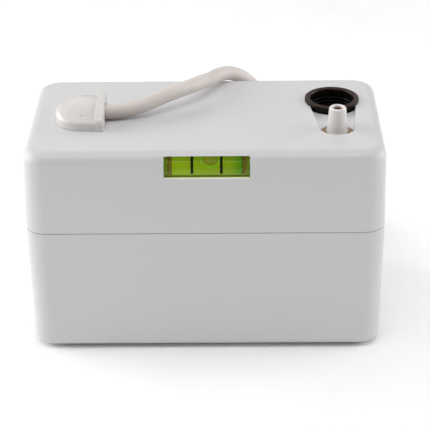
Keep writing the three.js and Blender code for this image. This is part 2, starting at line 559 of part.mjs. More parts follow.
function makePumpColumn() {
  const at = station(head, PUMP);
  const column = turned([
    [3.2, VOLUTE.z1 + GAP], [7.5, VOLUTE.z1 + GAP], [7.5, 53], [12, 55], [12, PLATE_Z - GAP],
    [3.2, PLATE_Z - GAP], [3.2, VOLUTE.z1 + GAP],
  ], 16);
  piece(at, 'shaft_column', column, IVORY);

  const shell = turned([[3.2, VOLUTE.z1 - 2.4], [15, VOLUTE.z1 - 2.4], [15, VOLUTE.z0], [VOLUTE.r, VOLUTE.z0],
    [VOLUTE.r, VOLUTE.z1], [3.2, VOLUTE.z1], [3.2, VOLUTE.z1 - 2.4]], 22);
  const volute = shaped(shell, {
    add: [bar(VOLUTE.r - 1.5, VOLUTE.stub, 0, VOLUTE.outletZ, 3.4)],
    cut: [bar(VOLUTE.r - 4, VOLUTE.stub + 1, 0, VOLUTE.outletZ, 1.9, 10)],
  });
  piece(at, 'volute', volute, IVORY);

  const slot = (i) => box(6.5, 14, -0.8, 0.8, 4, 9).rotateZ((i * Math.PI) / 5);
  const slots = Array.from({ length: 10 }, (_, i) => slot(i));
  piece(at, 'strainer', shaped(ring(3.5, VOLUTE.r, 5.2, VOLUTE.z0 - GAP, 20), { cut: slots }), IVORY);

  const route = new THREE.CatmullRomCurve3([
    v3(PUMP.x + VOLUTE.stub + GAP, PUMP.y, VOLUTE.outletZ), v3(5, PUMP.y, VOLUTE.outletZ),
    v3(DELIVERY_X - 1.2, PUMP.y, 20),
    v3(DELIVERY_X, PUMP.y, 32), v3(DELIVERY_X, PUMP.y, 52), v3(DELIVERY_X + 0.3, PUMP.y - 0.6, 61),
    v3(16.5, -2, 66.2), v3(25, -8.6, 66.8), v3(34, -13.4, 65.8), v3(40, OUTLET.y, STUB_Z),
    v3(OUTLET.x - 11 - GAP, OUTLET.y, STUB_Z),
  ], false, 'centripetal');
  piece(head, 'delivery_hose', tube(route, 3, 8, 24), ACRYLIC);
}

// ---- motor --------------------------------------------------------------------------------------
const MOTOR = { r: 23, z0: PLATE_TOP + GAP, z1: 86 };

function makeMotor() {
  const at = station(head, PUMP);
  const { r, z0, z1 } = MOTOR;
  const can = turned([[3.5, z0], [r, z0], [r, z1], [r - 1.5, z1], [r - 1.5, z0 + 1.5], [3.5, z0 + 1.5],
    [3.5, z0]], 24);
  piece(at, 'motor_can', can, STEEL);
  const lid = turned([[2.2, z1 + GAP], [r, z1 + GAP], [r, z1 + 1.8], [6, z1 + 1.8], [5, z1 + 3.6],
    [2.2, z1 + 3.6], [2.2, z1 + GAP]], 24);
  piece(at, 'motor_lid', lid, STEEL);

  const slot = (i) => box(11, 17.5, -2.2, 2.2, 60, 90).rotateZ((i * Math.PI) / 3);
  const stator = shaped(ring(12, r - 1.8, 66, 80, 24), { cut: Array.from({ length: 6 }, (_, i) => slot(i)) });
  piece(at, 'motor_stator', stator, STEEL);
  piece(at, 'motor_winding', ring(13, 19, 80.3, 84.5, 20), COPPER);

  const rotor = new THREE.Group();
  at.add(rotor);
  piece(rotor, 'motor_rotor', ring(2.3, 11.4, 66.5, 79.5, 18), BLACK);
  piece(rotor, 'motor_shaft', turned([[0, 9.5], [1.7, 9.5], [2, 10], [2, 89], [0, 89]], 16), STEEL);
  const hub = ring(2.3, 4, 9.6, 18.8, 16);
  const vane = (i) => {
    const blade = new THREE.Shape();
    blade.moveTo(3.6, -0.5);
    blade.quadraticCurveTo(9, 0.2, 13, 4.2);
    blade.lineTo(12.3, 5);
    blade.quadraticCurveTo(8.4, 1.4, 3.6, 0.6);
    return extruded(blade, 10.6, 17.6, 3).rotateZ((i * Math.PI) / 3);
  };
  const disc = ring(3.8, 13.4, 17.2, 18.8, 20);
  const impeller = shaped(hub, { add: [disc, ...Array.from({ length: 6 }, (_, i) => vane(i))] });
  piece(rotor, 'impeller', impeller, BLUE);
}

// ---- float switch -------------------------------------------------------------------------------
function makeFloat() {
  const at = station(head, FLOAT);
  const stem = turned([
    [0, 8.4], [2.4, 8.4], [3, 9], [3, 54.4], [6, 54.4], [6, PLATE_Z - GAP], [3, PLATE_Z - GAP],
    [3, 64], [0, 64],
  ], 16);
  piece(at, 'float_stem', stem, BLACK);
  piece(at, 'float_clip', ring(3.35, 5.4, 9.6, 10.7, 16), STEEL);
  const drum = turned([[3.4, 11], [9.8, 11], [11, 12.2], [11, 23.8], [9.8, 25], [7.4, 25], [7.4, 21.5],
    [4.5, 21.5], [4.5, 25], [3.4, 25], [3.4, 11]], 18);
  piece(at, 'float_drum', drum, BLUE);
  piece(at, 'float_magnet', ring(4.8, 7.1, 21.8, 24.6, 18), BLACK);
}

// ---- electronics --------------------------------------------------------------------------------
function makeElectronics() {
  const { x0, x1, y0, y1, z0, thick } = BOARD;
  const top = z0 + thick + GAP;
  piece(head, 'circuit_board', box(x0, x1, y0, y1, z0, z0 + thick), GREEN);
  const core = box(8, 26, 13, 29, top, top + 10);
  piece(head, 'transformer', shaped(core, { add: [box(10, 24, 10.6, 31.4, top, top + 12.5)] }), BLUE);
  piece(head, 'relay', box(29, 39, 11, 19, top, top + 11.5), BLACK);
  const can = turned([[0, 0], [5, 0], [5, 14.4], [4.3, 15], [0, 15]], 14);
  piece(head, 'capacitor', can, BLACK, v3(33.5, 28, top));
  const block = box(-66, -50, -13, 3, PLATE_TOP + GAP, 74);
  const terminals = [-10, -5, 0];
  const wells = terminals.map((y) => rod(-61.5, y, 70, 75, 1.7, 8));
  const mouths = terminals.map((y) => box(-56, -49, y - 1.6, y + 1.6, 64, 68));
  piece(head, 'terminal_block', shaped(block, { cut: [...wells, ...mouths] }), IVORY);
}

makeTank();
makeCover();
makeChassis();
makeHood();
makeCordStub();
makeCordClamp();
makeCordLead();
makeCoil();
makePlug();
makeLevel();
makeInlet();
makeOutlet();
makePumpColumn();
makeMotor();
makeFloat();
makeElectronics();

export default pump;
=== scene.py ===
"""Looks of a small tank-type condensate pump: casing, spirit level, rubber inlet, spigot and mains lead.

Sizes in this file are millimetres and become metres where a mesh is made. +Z is up, the front is at -Y.
"""
import json
import math

import bmesh
import bpy
from mathutils import Matrix, Vector


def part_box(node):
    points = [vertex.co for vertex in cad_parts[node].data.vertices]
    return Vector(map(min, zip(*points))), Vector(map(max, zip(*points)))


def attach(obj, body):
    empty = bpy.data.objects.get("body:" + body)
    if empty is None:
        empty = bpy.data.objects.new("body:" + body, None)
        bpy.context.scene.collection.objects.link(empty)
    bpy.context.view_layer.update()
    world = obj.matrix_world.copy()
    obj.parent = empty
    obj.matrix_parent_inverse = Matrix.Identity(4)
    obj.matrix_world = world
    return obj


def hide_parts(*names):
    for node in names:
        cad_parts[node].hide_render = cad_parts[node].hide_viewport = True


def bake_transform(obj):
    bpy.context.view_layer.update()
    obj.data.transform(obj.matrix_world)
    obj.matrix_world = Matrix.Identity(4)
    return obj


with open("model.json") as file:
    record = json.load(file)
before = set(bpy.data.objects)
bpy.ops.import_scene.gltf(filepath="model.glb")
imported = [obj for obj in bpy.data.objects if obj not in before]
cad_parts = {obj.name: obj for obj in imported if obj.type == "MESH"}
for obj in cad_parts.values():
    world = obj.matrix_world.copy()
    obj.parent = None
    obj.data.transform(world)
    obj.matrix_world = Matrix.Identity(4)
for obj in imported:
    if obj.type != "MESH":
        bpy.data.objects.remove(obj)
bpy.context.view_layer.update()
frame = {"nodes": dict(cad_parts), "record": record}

MM = 0.001
ON_AXIS = 1e-6  # a smaller radius is a point on the axis


# ---- places and sizes, from the frame ----
def span(node):
    """Lowest and highest corner of a CAD node, in millimetres."""
    low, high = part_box(node)
    return low / MM, high / MM


def middle(node):
    low, high = span(node)
    return (low + high) / 2


def upright(node):
    """Half the width of a CAD node along X, its bottom and its top."""
    low, high = span(node)
    return (high.x - low.x) / 2, low.z, high.z


COVER = span("top_cover")
BASE = span("reservoir")
PLATE = span("chassis_plate")
HALF_X = COVER[1].x
HALF_Y = COVER[1].y
TOP = COVER[1].z
FLOOR = BASE[0].z  # underside of the tank, the height of the feet over the table
SEAM = (COVER[0].z + BASE[1].z) / 2
SEAM_GAP = COVER[0].z - BASE[1].z
WALL = 2.4
RIM_EASE = 0.15  # rounding of each half's rim at the seam
LEAN = 0.6  # how far each wall leans in between the seam and the top or the floor
CORNER_R = 9
TOP_EDGE_R = 5
BASE_EDGE_R = 4

INLET = middle("inlet_sleeve")
OUTLET = middle("outlet_grommet")
PUMP = middle("motor_can")
FLOAT = middle("float_drum")
VIAL = middle("level_vial")
# middle of the round body that cuts the bubble
BUBBLE = Vector((VIAL.x + 1.4, VIAL.y - 2.72, VIAL.z + 5.35))
BUBBLE_HALF = Vector((3.97, 4.17, 4.17))
COIL = middle("cord_coil")
HOOD = span("cord_hood")
HOOD_Y = middle("cord_hood").y
CORD_R = 3.2
CORD_RISE = 3.6  # the lead's axis over the cover where it leaves the hood


# ---- outlines ----
def polar(centre, radius, angle):
    """The point (x, y) at this distance and in this direction from a centre."""
    return centre[0] + radius * math.cos(angle), centre[1] + radius * math.sin(angle)


def full_turn(steps):
    return [2 * math.pi * k / steps for k in range(steps)]


def at_height(outline, z):
    return [(x, y, z) for x, y in outline]


def easing(steps):
    """A quarter turn in equal steps, as pairs (1 - cosine, 1 - sine)."""
    turns = [math.pi / 2 * k / steps for k in range(steps + 1)]
    return [(1 - math.cos(turn), 1 - math.sin(turn)) for turn in turns]


def round_rect(half_x, half_y, radius, steps=12):
    """Outline of a rectangle with round corners, anticlockwise."""
    points = []
    for quarter, (sx, sy) in enumerate(((1, 1), (-1, 1), (-1, -1), (1, -1))):
        centre = (sx * (half_x - radius), sy * (half_y - radius))
        for k in range(steps + 1):
            points.append(polar(centre, radius, (quarter + k / steps) * math.pi / 2))
    return points


def casing_outline(inset, z):
    """Plan of the casing at its seam, `inset` inside its skin."""
    return at_height(round_rect(HALF_X - inset, HALF_Y - inset, CORNER_R - inset), z)


# ---- mesh helpers ----
def new_piece(name, mesh):
    """Turns a bmesh in millimetres into an object in metres, its faces pointing out."""
    bmesh.ops.recalc_face_normals(mesh, faces=mesh.faces)
    bmesh.ops.scale(mesh, vec=(MM, MM, MM), verts=mesh.verts)
    data = bpy.data.meshes.new(name)
    mesh.to_mesh(data)
    mesh.free()
    piece = bpy.data.objects.new(name, data)
    bpy.context.scene.collection.objects.link(piece)
    return piece


def lofted(name, levels, closed=False):
    """A surface through outlines of equally many points; its ends are capped, or joined if closed."""
    mesh = bmesh.new()
    rings = [[mesh.verts.new(point) for point in level] for level in levels]
    pairs = list(zip(rings, rings[1:]))
    if closed:
        pairs.append((rings[-1], rings[0]))
    for ring, above in pairs:
        for i in range(len(ring)):
            j = (i + 1) % len(ring)
            mesh.faces.new((ring[i], ring[j], above[j], above[i]))
    if not closed:
        mesh.faces.new(rings[0][::-1])
        mesh.faces.new(rings[-1])
    return new_piece(name, mesh)


def eased(corners, steps=5):
    """A polyline's points, with each corner (a, b, radius) turned into an arc of that radius."""
    points = []
    count = len(corners)
    for i, corner in enumerate(corners):
        here = Vector(corner[:2])
        if len(corner) < 3:
            points.append(here)
            continue
        before = (Vector(corners[i - 1][:2]) - here).normalized()
        after = (Vector(corners[(i + 1) % count][:2]) - here).normalized()
        half = before.angle(after) / 2
        centre = here + (before + after).normalized() * (corner[2] / math.sin(half))
        reach = corner[2] / math.tan(half)
        first = here + before * reach - centre
        turn = math.pi - 2 * half
        if first.x * (after - before).y - first.y * (after - before).x < 0:
            turn = -turn
        for k in range(steps + 1):
            points.append(centre + Matrix.Rotation(turn * k / steps, 2) @ first)
    return points


def turned(name, axis, profile, segments=96, ease=5):
    """Revolves a profile of (radius, height[, corner radius]) round the vertical axis through axis."""
    mesh = bmesh.new()
    rings = []
    for radius, height in eased(profile, ease):
        if radius < ON_AXIS:
            rings.append([mesh.verts.new((axis[0], axis[1], height))])
            continue
        rings.append([mesh.verts.new((*polar(axis, radius, turn), height)) for turn in full_turn(segments)])
    pairs = list(zip(rings, rings[1:]))
    if len(rings[0]) > 1:
        pairs.append((rings[-1], rings[0]))
    for ring, above in pairs:
        for k in range(segments):
            n = (k + 1) % segments
            corners = [ring[k % len(ring)], ring[n % len(ring)], above[n % len(above)], above[k % len(above)]]
            corners = list(dict.fromkeys(corners))  # an end on the axis gives one point twice
            if len(corners) > 2:
                mesh.faces.new(corners)
    return new_piece(name, mesh)


def rod(name, axis, radius, low, high, segments=96):
    """A plain upright cylinder."""
    return turned(name, axis, [(0, low), (radius, low), (radius, high), (0, high)], segments)


def moved(place):
    return Matrix.Translation(Vector(place) * MM)


def along_x(piece, place):
    """Lays a piece that was turned round the origin down along X, and moves it to place."""
    piece.data.transform(moved(place) @ Matrix.Rotation(math.pi / 2, 4, "Y"))
    return piece


def block(name, low, high):
    """A straight-sided body, for cutting or joining."""
    xs, ys, zs = zip(low, high)
    return prism(name, [(xs[0], ys[0]), (xs[1], ys[0]), (xs[1], ys[1]), (xs[0], ys[1])], *zs)


def prism(name, outline, low, high):
    return lofted(name, [at_height(outline, z) for z in (low, high)])


def route_through(points, spacing=1.5):
    """Points about `spacing` apart on the centripetal Catmull-Rom curve through `points`."""
    knots = [Vector(p) for p in points]
    knots = [2 * knots[0] - knots[1], *knots, 2 * knots[-1] - knots[-2]]
    line = []
    for a, b, c, d in zip(knots, knots[1:], knots[2:], knots[3:]):
        t1 = (b - a).length ** 0.5
        t2 = t1 + (c - b).length ** 0.5
        t3 = t2 + (d - c).length ** 0.5
        count = max(2, round((c - b).length / spacing))
        for k in range(count):
            t = t1 + (t2 - t1) * k / count
            ab = a.lerp(b, t / t1)
            bc = b.lerp(c, (t - t1) / (t2 - t1))
            cd = c.lerp(d, (t - t2) / (t3 - t2))
            line.append(ab.lerp(bc, t / t2).lerp(bc.lerp(cd, (t - t1) / (t3 - t1)), (t - t1) / (t2 - t1)))
    line.append(knots[-2])
    return line


def swept(name, line, radius, sides=24, inner=0):
    """A round tube along a line of points, hollow if it has an inner radius."""
    tangents = [(b - a).normalized() for a, b in zip([line[0], *line], [*line[1:], line[-1]])]
    side = tangents[0].orthogonal().normalized()
    frames = []
    for point, tangent in zip(line, tangents):
        side = (side - tangent * side.dot(tangent)).normalized()
        frames.append((point, side, tangent.cross(side)))

    def circle(at, r):
        point, across, up = at
        return [point + (across * math.cos(t) + up * math.sin(t)) * r for t in full_turn(sides)]

    levels = [circle(at, radius) for at in frames]
    if inner:
        levels += [circle(at, inner) for at in reversed(frames)]
    return lofted(name, levels, closed=bool(inner))


def settled(piece):
    """Applies a piece's modifiers."""
    graph = bpy.context.evaluated_depsgraph_get()
    data = bpy.data.meshes.new_from_object(piece.evaluated_get(graph))
    piece.modifiers.clear()
    piece.data = data
    return piece


def carved(piece, cutters, operation="DIFFERENCE"):
    """Cuts the cutters out of a piece, or joins them to it, and removes them."""
    for cutter in cutters:
        modifier = piece.modifiers.new("carve", "BOOLEAN")
        modifier.operation = operation
        modifier.solver = "MANIFOLD"
        modifier.object = cutter
        settled(piece)
        bpy.data.objects.remove(cutter)
    return piece


def joined(piece, parts):
    return carved(piece, parts, "UNION")


def rounded(piece, width, where, sharp=30, steps=3):
    """Rounds the edges over `sharp` degrees whose middle, in millimetres, passes `where`."""
    mesh = bmesh.new()
    mesh.from_mesh(piece.data)
    weight = mesh.edges.layers.float.new("bevel_weight_edge")
    for edge in mesh.edges:
        centre = (edge.verts[0].co + edge.verts[1].co) / 2 / MM
        if len(edge.link_faces) == 2 and edge.calc_face_angle() > math.radians(sharp) and where(centre):
            edge[weight] = 1
    mesh.to_mesh(piece.data)
    mesh.free()
    bevel = piece.modifiers.new("round", "BEVEL")
    bevel.limit_method = "WEIGHT"
    bevel.width = width * MM
    bevel.segments = steps
    bevel.use_clamp_overlap = False
    return settled(piece)


def dress(piece, look, body, *replaced, slot=None, sharp=32):
    """Look, smooth shading up to `sharp` degrees, body and replaced nodes of one piece; `slot` is not used.
    """
    piece.data.materials.clear()
    piece.data.materials.append(LOOKS[look])
    mesh = bmesh.new()
    mesh.from_mesh(piece.data)
    for face in mesh.faces:
        face.smooth = True
        face.material_index = 0
    for edge in mesh.edges:
        edge.smooth = len(edge.link_faces) == 2 and edge.calc_face_angle() < math.radians(sharp)
    mesh.to_mesh(piece.data)
    mesh.free()
    normals = piece.modifiers.new("even_normals", "WEIGHTED_NORMAL")
    normals.keep_sharp = True
    if body:
        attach(piece, body)
    if replaced:
        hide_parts(*replaced)


# ---- materials ----
def tint(code, scale=1.0):
    """A linear colour from an sRGB code such as 0xE2E2E0."""
    channels = [(code >> shift & 255) / 255 for shift in (16, 8, 0)]
    linear = [c / 12.92 if c <= 0.04045 else ((c + 0.055) / 1.055) ** 2.4 for c in channels]
    return (*[min(1, c * scale) for c in linear], 1)


LOOKS = {}  # materials by name, which is also the slot unless a piece gives another


class Look:
    """One material's node tree, with short calls for the nodes that the materials share."""

    def __init__(self, name):
        self.name = name
        self.material = bpy.data.materials.new(name)
        self.material.use_nodes = True
        self.tree = self.material.node_tree
        self.tree.nodes.clear()
        self.place = self.node("ShaderNodeTexCoord").outputs["Object"]

    def node(self, kind, inputs=None, **settings):
        made = self.tree.nodes.new(kind)
        for key, value in settings.items():
            setattr(made, key, value)
        for key, value in (inputs or {}).items():
            if isinstance(value, bpy.types.NodeSocket):
                self.tree.links.new(value, made.inputs[key])
            else:
                made.inputs[key].default_value = value
        return made

    def noise(self, size, detail=3.0, stretch=(1, 1, 1)):
        """Noise whose lumps are about `size` millimetres across, and longer where stretch is below 1."""
        placed = self.node("ShaderNodeMapping", {"Vector": self.place, "Scale": stretch}).outputs[0]
        inputs = {"Vector": placed, "Scale": 1 / (size * MM), "Detail": detail, "Roughness": 0.55}
        return self.node("ShaderNodeTexNoise", inputs).outputs[0]

    def cloud(self, size, detail, to_low=0, to_high=1):
        """Noise spread over to_low..to_high."""
        return self.fit(self.noise(size, detail), 0.3, 0.7, to_low, to_high)

    def cells(self, size):
        return self.node("ShaderNodeTexVoronoi", {"Vector": self.place, "Scale": 1 / (size * MM)})

    def fit(self, value, low, high, to_low=0.0, to_high=1.0):
        """Maps low..high to to_low..to_high, and holds the ends."""
        inputs = {"Value": value, "From Min": low, "From Max": high, "To Min": to_low, "To Max": to_high}
        return self.node("ShaderNodeMapRange", inputs).outputs[0]

    def calc(self, operation, *values):
        return self.node("ShaderNodeMath", dict(enumerate(values)), operation=operation).outputs[0]

    def times(self, a, b):
        return self.calc("MULTIPLY", a, b)

    def vector(self, operation, *values, result=0):
        return self.node("ShaderNodeVectorMath", dict(enumerate(values)), operation=operation).outputs[result]

    def mix(self, share, a, b):
        """From colour a to colour b; a whole number is an sRGB code."""
        a, b = (tint(colour) if isinstance(colour, int) else colour for colour in (a, b))
        return self.node("ShaderNodeMix", {0: share, 6: a, 7: b}, data_type="RGBA").outputs[2]

    def edges(self):
        """1 on convex edges and 0 elsewhere."""
        return self.fit(self.node("ShaderNodeNewGeometry").outputs["Pointiness"], 0.52, 0.62)

    def axis(self, name):
        return self.node("ShaderNodeSeparateXYZ", {0: self.place}).outputs[name]

    def bump(self, height, depth, under=None):
        """Relief of `depth` millimetres."""
        inputs = {"Height": height, "Distance": depth * MM}
        if under:
            inputs["Normal"] = under
        return self.node("ShaderNodeBump", inputs).outputs[0]

    def surface(self, shader):
        """Finishes the material with this shader."""
        self.node("ShaderNodeOutputMaterial", {"Surface": shader.outputs[0]})
        LOOKS[self.name] = self.material

    def coat(self, colour, roughness, normal=None, **more):
        """Finishes the material with a principled shader."""
        inputs = {"Base Color": colour, "Roughness": roughness}
        if normal:
            inputs["Normal"] = normal
        inputs.update({key.replace("_", " "): value for key, value in more.items()})
        self.surface(self.node("ShaderNodeBsdfPrincipled", inputs))


def moulded(name, code, roughness, mottle=0.008, dust=0x8A7C68, **more):
    """Injection-moulded plastic: faint flow marks, a fine grain, rubbed edges and a few tiny specks."""
    look = Look(name)
    flow = look.noise(45, 1, (1, 1, 0.45))
    colour = look.mix(look.fit(flow, 0.1, 0.9), tint(code, 1 - mottle), tint(code, 1 + mottle))
    colour = look.mix(look.fit(look.edges(), 0, 1, 0, 0.3), colour, tint(code, 1.04))
    speck = look.cells(24)
    near = look.calc("LESS_THAN", speck.outputs["Distance"], 0.014)
    picked = look.node("ShaderNodeSeparateColor", {0: speck.outputs["Color"]}).outputs[0]
    spotted = look.times(near, look.calc("GREATER_THAN", picked, 0.8))
    colour = look.mix(look.times(spotted, 0.4), colour, dust)
    gloss = look.fit(look.noise(40, 1), 0.1, 0.9, roughness - 0.02, roughness + 0.03)
    normal = look.bump(look.noise(1.6, 2), 0.002)
    look.coat(colour, gloss, normal, **more)


def cord_pvc():
    """Soft PVC sheath: faint flow, matt grain, light handling marks, and painted shade on its underside where
    it leaves the hood.
    """
    look = Look("cord_white")
    colour = look.mix(look.cloud(9, 4), 0xCCC4BF, 0xD6CFCA)
    rub = look.fit(look.noise(3.2, 5), 0.6, 0.75)
    colour = look.mix(look.times(rub, 0.1), colour, 0xB5AAA3)
    # Painted shade: the underside of the lead on the cover grows darker towards the hood.
    near_hood = look.fit(look.axis("X"), -20 * MM, -42 * MM, 0, 0.5)
    underside = look.fit(look.axis("Z"), (TOP + 7) * MM, (TOP + 2) * MM)
    on_top = look.fit(look.axis("Z"), 80 * MM, 90 * MM)
    colour = look.mix(look.times(near_hood, look.times(underside, on_top)), colour, 0x85736E)
    normal = look.bump(look.noise(0.35, 3), 0.012)
    normal = look.bump(look.noise(6, 2), 0.06, normal)
    look.coat(colour, look.cloud(2, 3, 0.42, 0.58), normal)


def rubber(name, code, worn, roughness, relief=0.02, sheen_height=None):
    """Moulded rubber: a fine pitted skin, greyer where it is rubbed, and a painted brown sheen in a band
    round the height that its last argument gives.
    """
    look = Look(name)
    colour = look.mix(look.fit(look.noise(2.6, 5), 0.42, 0.72), code, worn)
    if sheen_height:
        # Painted sheen: a brown band stands in for the rim's reflection.
        painted_sheen = look.mix(look.cloud(4, 4), 0x2B1C16, 0x382720)
        over = look.fit(look.axis("Z"), (sheen_height - 0.15) * MM, (sheen_height + 0.15) * MM)
        colour = look.mix(over, colour, painted_sheen)
    gloss = look.cloud(3.5, 4, roughness - 0.07, roughness + 0.12)
    normal = look.bump(look.noise(0.3, 4), relief)
    normal = look.bump(look.noise(2.2, 2), relief * 2, normal)
    look.coat(colour, gloss, normal, Specular_IOR_Level=0.16)


def metal(name, code, dark, roughness, stretch=(1, 1, 0.06)):
    """Drawn or turned metal: fine tool lines and stains."""
    look = Look(name)
    lines = look.noise(0.5, 4, stretch)
    stain = look.fit(look.noise(5, 4), 0.45, 0.75)
    colour = look.mix(look.fit(lines, 0.3, 0.7), code, tint(code, 0.82))
    colour = look.mix(look.times(stain, 0.5), colour, dark)
    gloss = look.fit(lines, 0.3, 0.7, roughness, roughness + 0.18)
    look.coat(colour, gloss, look.bump(lines, 0.01), Metallic=1.0)


def board():
    """Circuit board: solder mask over tracks, with bare pads."""
    look = Look("board_green")
    greens = {"Color1": tint(0x1F5B36), "Color2": tint(0x2A6C43), "Mortar": tint(0x3F8A58)}
    lines = {"Vector": look.place, "Scale": 1 / (9 * MM), "Mortar Size": 0.05}
    tracks = look.node("ShaderNodeTexBrick", {**lines, **greens})
    pads = look.calc("LESS_THAN", look.cells(2.4).outputs["Distance"], 0.2)
    colour = look.mix(pads, tracks.outputs[0], 0xB9B6A6)
    normal = look.bump(tracks.outputs[1], 0.03)
    look.coat(colour, look.cloud(2, 2, 0.3, 0.45), normal)


def acrylic():
    """Clear tube wall: it lets light straight through, with a gloss, fine scratches and a green cast."""
    look = Look("acrylic")
    scratch = look.fit(look.noise(1.2, 3, (0.08, 1, 1)), 0.66, 0.72)
    normal = look.bump(look.noise(1.5, 3, (0.3, 1, 1)), 0.01)
    clear = look.node("ShaderNodeBsdfTransparent", {"Color": tint(0xEEF5D2)})
    rough = look.fit(scratch, 0, 1, 0.06, 0.3)
    gloss = look.node("ShaderNodeBsdfGlossy", {"Color": tint(0xFFFFFF), "Roughness": rough, "Normal": normal})
    edge = look.node("ShaderNodeFresnel", {"IOR": 1.2, "Normal": normal}).outputs[0]
    share = look.calc("ADD", edge, look.times(scratch, 0.02))
    mixed = look.node("ShaderNodeMixShader", {0: share, 1: clear.outputs[0], 2: gloss.outputs[0]})
    look.surface(mixed)


def hose_pvc():
    """Milky PVC hose."""
    look = Look("hose_pvc")
    cloud = look.cloud(4, 4)
    colour = look.mix(cloud, 0xC9CDBB, 0xE3E5D6)
    normal = look.bump(look.noise(0.7, 3), 0.02)
    look.coat(colour, look.fit(cloud, 0, 1, 0.25, 0.4), normal, Alpha=0.82)


def vial_dye_and_painted_glow():
    """Dyed liquid with a painted glow: yellow to the left, deeper green to the right, a painted bright green
    highlight round its bubble and painted olive-brown shade inside it.
    """
    look = Look("vial_fluid")
    along = look.fit(look.axis("X"), (VIAL.x - 14) * MM, (VIAL.x + 14.5) * MM)
    streak = look.fit(look.noise(1.6, 3, (0.04, 1, 1)), 0.35, 0.65)
    colour = look.mix(along, 0x9AA81C, 0x88981C)
    colour = look.mix(look.fit(along, 0.84, 1.0), colour, 0x3A7E20)
    colour = look.mix(look.times(streak, 0.45), colour, 0x6F8C14)
    offset = look.vector("SUBTRACT", look.place, BUBBLE * MM)
    reach = look.vector("LENGTH", look.vector("DIVIDE", offset, BUBBLE_HALF * MM), result="Value")
    # Painted highlight: a bright green ring round the bubble.
    colour = look.mix(look.fit(reach, 1.2, 1.05, 0, 0.8), colour, 0x74B828)
    # Painted shade: olive-brown inside the bubble.
    colour = look.mix(look.fit(reach, 1.04, 0.99), colour, 0x8A8A26)
    # The emission is a painted glow.
    look.coat(colour, look.fit(streak, 0, 1, 0.15, 0.3), look.bump(streak, 0.005),
              Emission_Color=colour, Emission_Strength=0.54, Specular_IOR_Level=0.1)


def vial_stopper():
    """End of the vial: brown beside the liquid, green outside, scuffed, and with a painted glow."""
    look = Look("vial_stop")
    away = look.calc("ABSOLUTE", look.calc("SUBTRACT", look.axis("X"), VIAL.x * MM))
    cloud = look.cloud(1.2, 4)
    brown = look.mix(cloud, 0x6B5A28, 0x7E6C34)
    green = look.mix(cloud, 0x5F7A1A, 0x7A9020)
    colour = look.mix(look.fit(away, 16.2 * MM, 16.7 * MM), brown, green)
    normal = look.bump(look.noise(0.8, 3), 0.01)
    # The emission is a painted glow.
    look.coat(colour, look.fit(cloud, 0, 1, 0.25, 0.4), normal,
              Emission_Color=colour, Emission_Strength=0.4, Specular_IOR_Level=0.1)


def sill():
    """White strip under the vial with a painted glow, and the liquid's green reflection painted olive beside
    the tube.
    """
    look = Look("sill_white")
    cloud = look.cloud(1.5, 3)
    white = look.mix(cloud, 0xDCDCC6, 0xE8E8D6)
    olive = look.mix(cloud, 0x7C8C20, 0x8E9C2C)
    # Painted reflection of the liquid: olive beside the tube; the emission below is a painted glow.
    colour = look.mix(look.fit(look.axis("Y"), -39.2 * MM, -38.9 * MM), white, olive)
    look.coat(colour, look.fit(cloud, 0, 1, 0.35, 0.45), Emission_Color=colour, Emission_Strength=0.15)


def ink():
    """Black ink of the vial's marks."""
    look = Look("vial_ink")
    colour = look.mix(look.fit(look.noise(0.5, 3), 0.4, 0.7), 0x0B0D04, 0x161C08)
    gloss = look.cloud(0.6, 2, 0.4, 0.6)
    look.coat(colour, gloss, Specular_IOR_Level=0.1)


moulded("shell_white", 0xCDCCCD, 0.34, Specular_IOR_Level=0.35)
moulded("inner_ivory", 0xD0CBBF, 0.42, mottle=0.04)
cord_pvc()
# The sleeve's rim gets the painted brown sheen.
rubber("sleeve_rubber", 0x0E0C0B, 0x181513, 0.3, 0.008, sheen_height=TOP + 1)
rubber("foot_rubber", 0x4B4C50, 0x67686B, 0.7)
# Its tan on the spigot's ring is painted shade: the brown crescent in the hole round the spigot.
rubber("grommet_tan", 0x9A7E5E, 0xB59B78, 0.5)
metal("steel", 0xA6A8AB, 0x6F6A66, 0.26)
metal("copper", 0xC07A4A, 0x7A4528, 0.3, (0.3, 0.3, 3))
moulded("black_plastic", 0x242528, 0.45, mottle=0.12, dust=0x6F7074)
moulded("blue_plastic", 0x2D5F9E, 0.42, mottle=0.08, dust=0x93A9C4)
board()
acrylic()
vial_dye_and_painted_glow()
moulded("hood_white", 0xD2CFCB, 0.22, dust=0xC6C2BE)
# Painted shade: the reddish brown down the spigot's bore.
moulded("spigot_bore_shade", 0x9A7A6C, 0.5, mottle=0.06)
hose_pvc()
sill()
moulded("spigot_white", 0xDAD6D4, 0.3)
rubber("seal_silicone", 0xC9B8AC, 0xD6C8BD, 0.5)
# Painted shade: the pinkish colour of the strip inside the seam gap.
rubber("seam_shade_pink", 0xB48F84, 0xC09D91, 0.5)
ink()
vial_stopper()


# ---- casing ----
def casing_levels(near, far, edge_radius, inset, lip=0):
    """Outlines of one half of the casing from its seam to its far side, `inset` inside its skin."""
    up = 1 if far > near else -1
    end = far - up * inset
    radius = edge_radius - inset
    depth = abs(far - SEAM)

    def outline(z, extra):
        side = inset + extra + LEAN * abs(z - SEAM) / depth
        return at_height(round_rect(HALF_X - side, HALF_Y - side, CORNER_R - inset - extra * 0.5), z)

    rim = easing(4) if lip else [(0, 0)]
    levels = [outline(near + up * lip * rise, lip * draw) for rise, draw in rim]
    return levels + [outline(end - up * radius * drop, radius * draw) for draw, drop in easing(12)]


def casing_half(name, near, far, edge_radius, ledge=()):
    """A hollow half of the casing; ledge holds more outlines that its inner wall runs through."""
    outside = casing_levels(near, far, edge_radius, 0, RIM_EASE)
    inside = casing_levels(near, far, edge_radius, WALL)
    return lofted(name, [*outside[::-1], inside[0], *ledge, *inside[1:]])


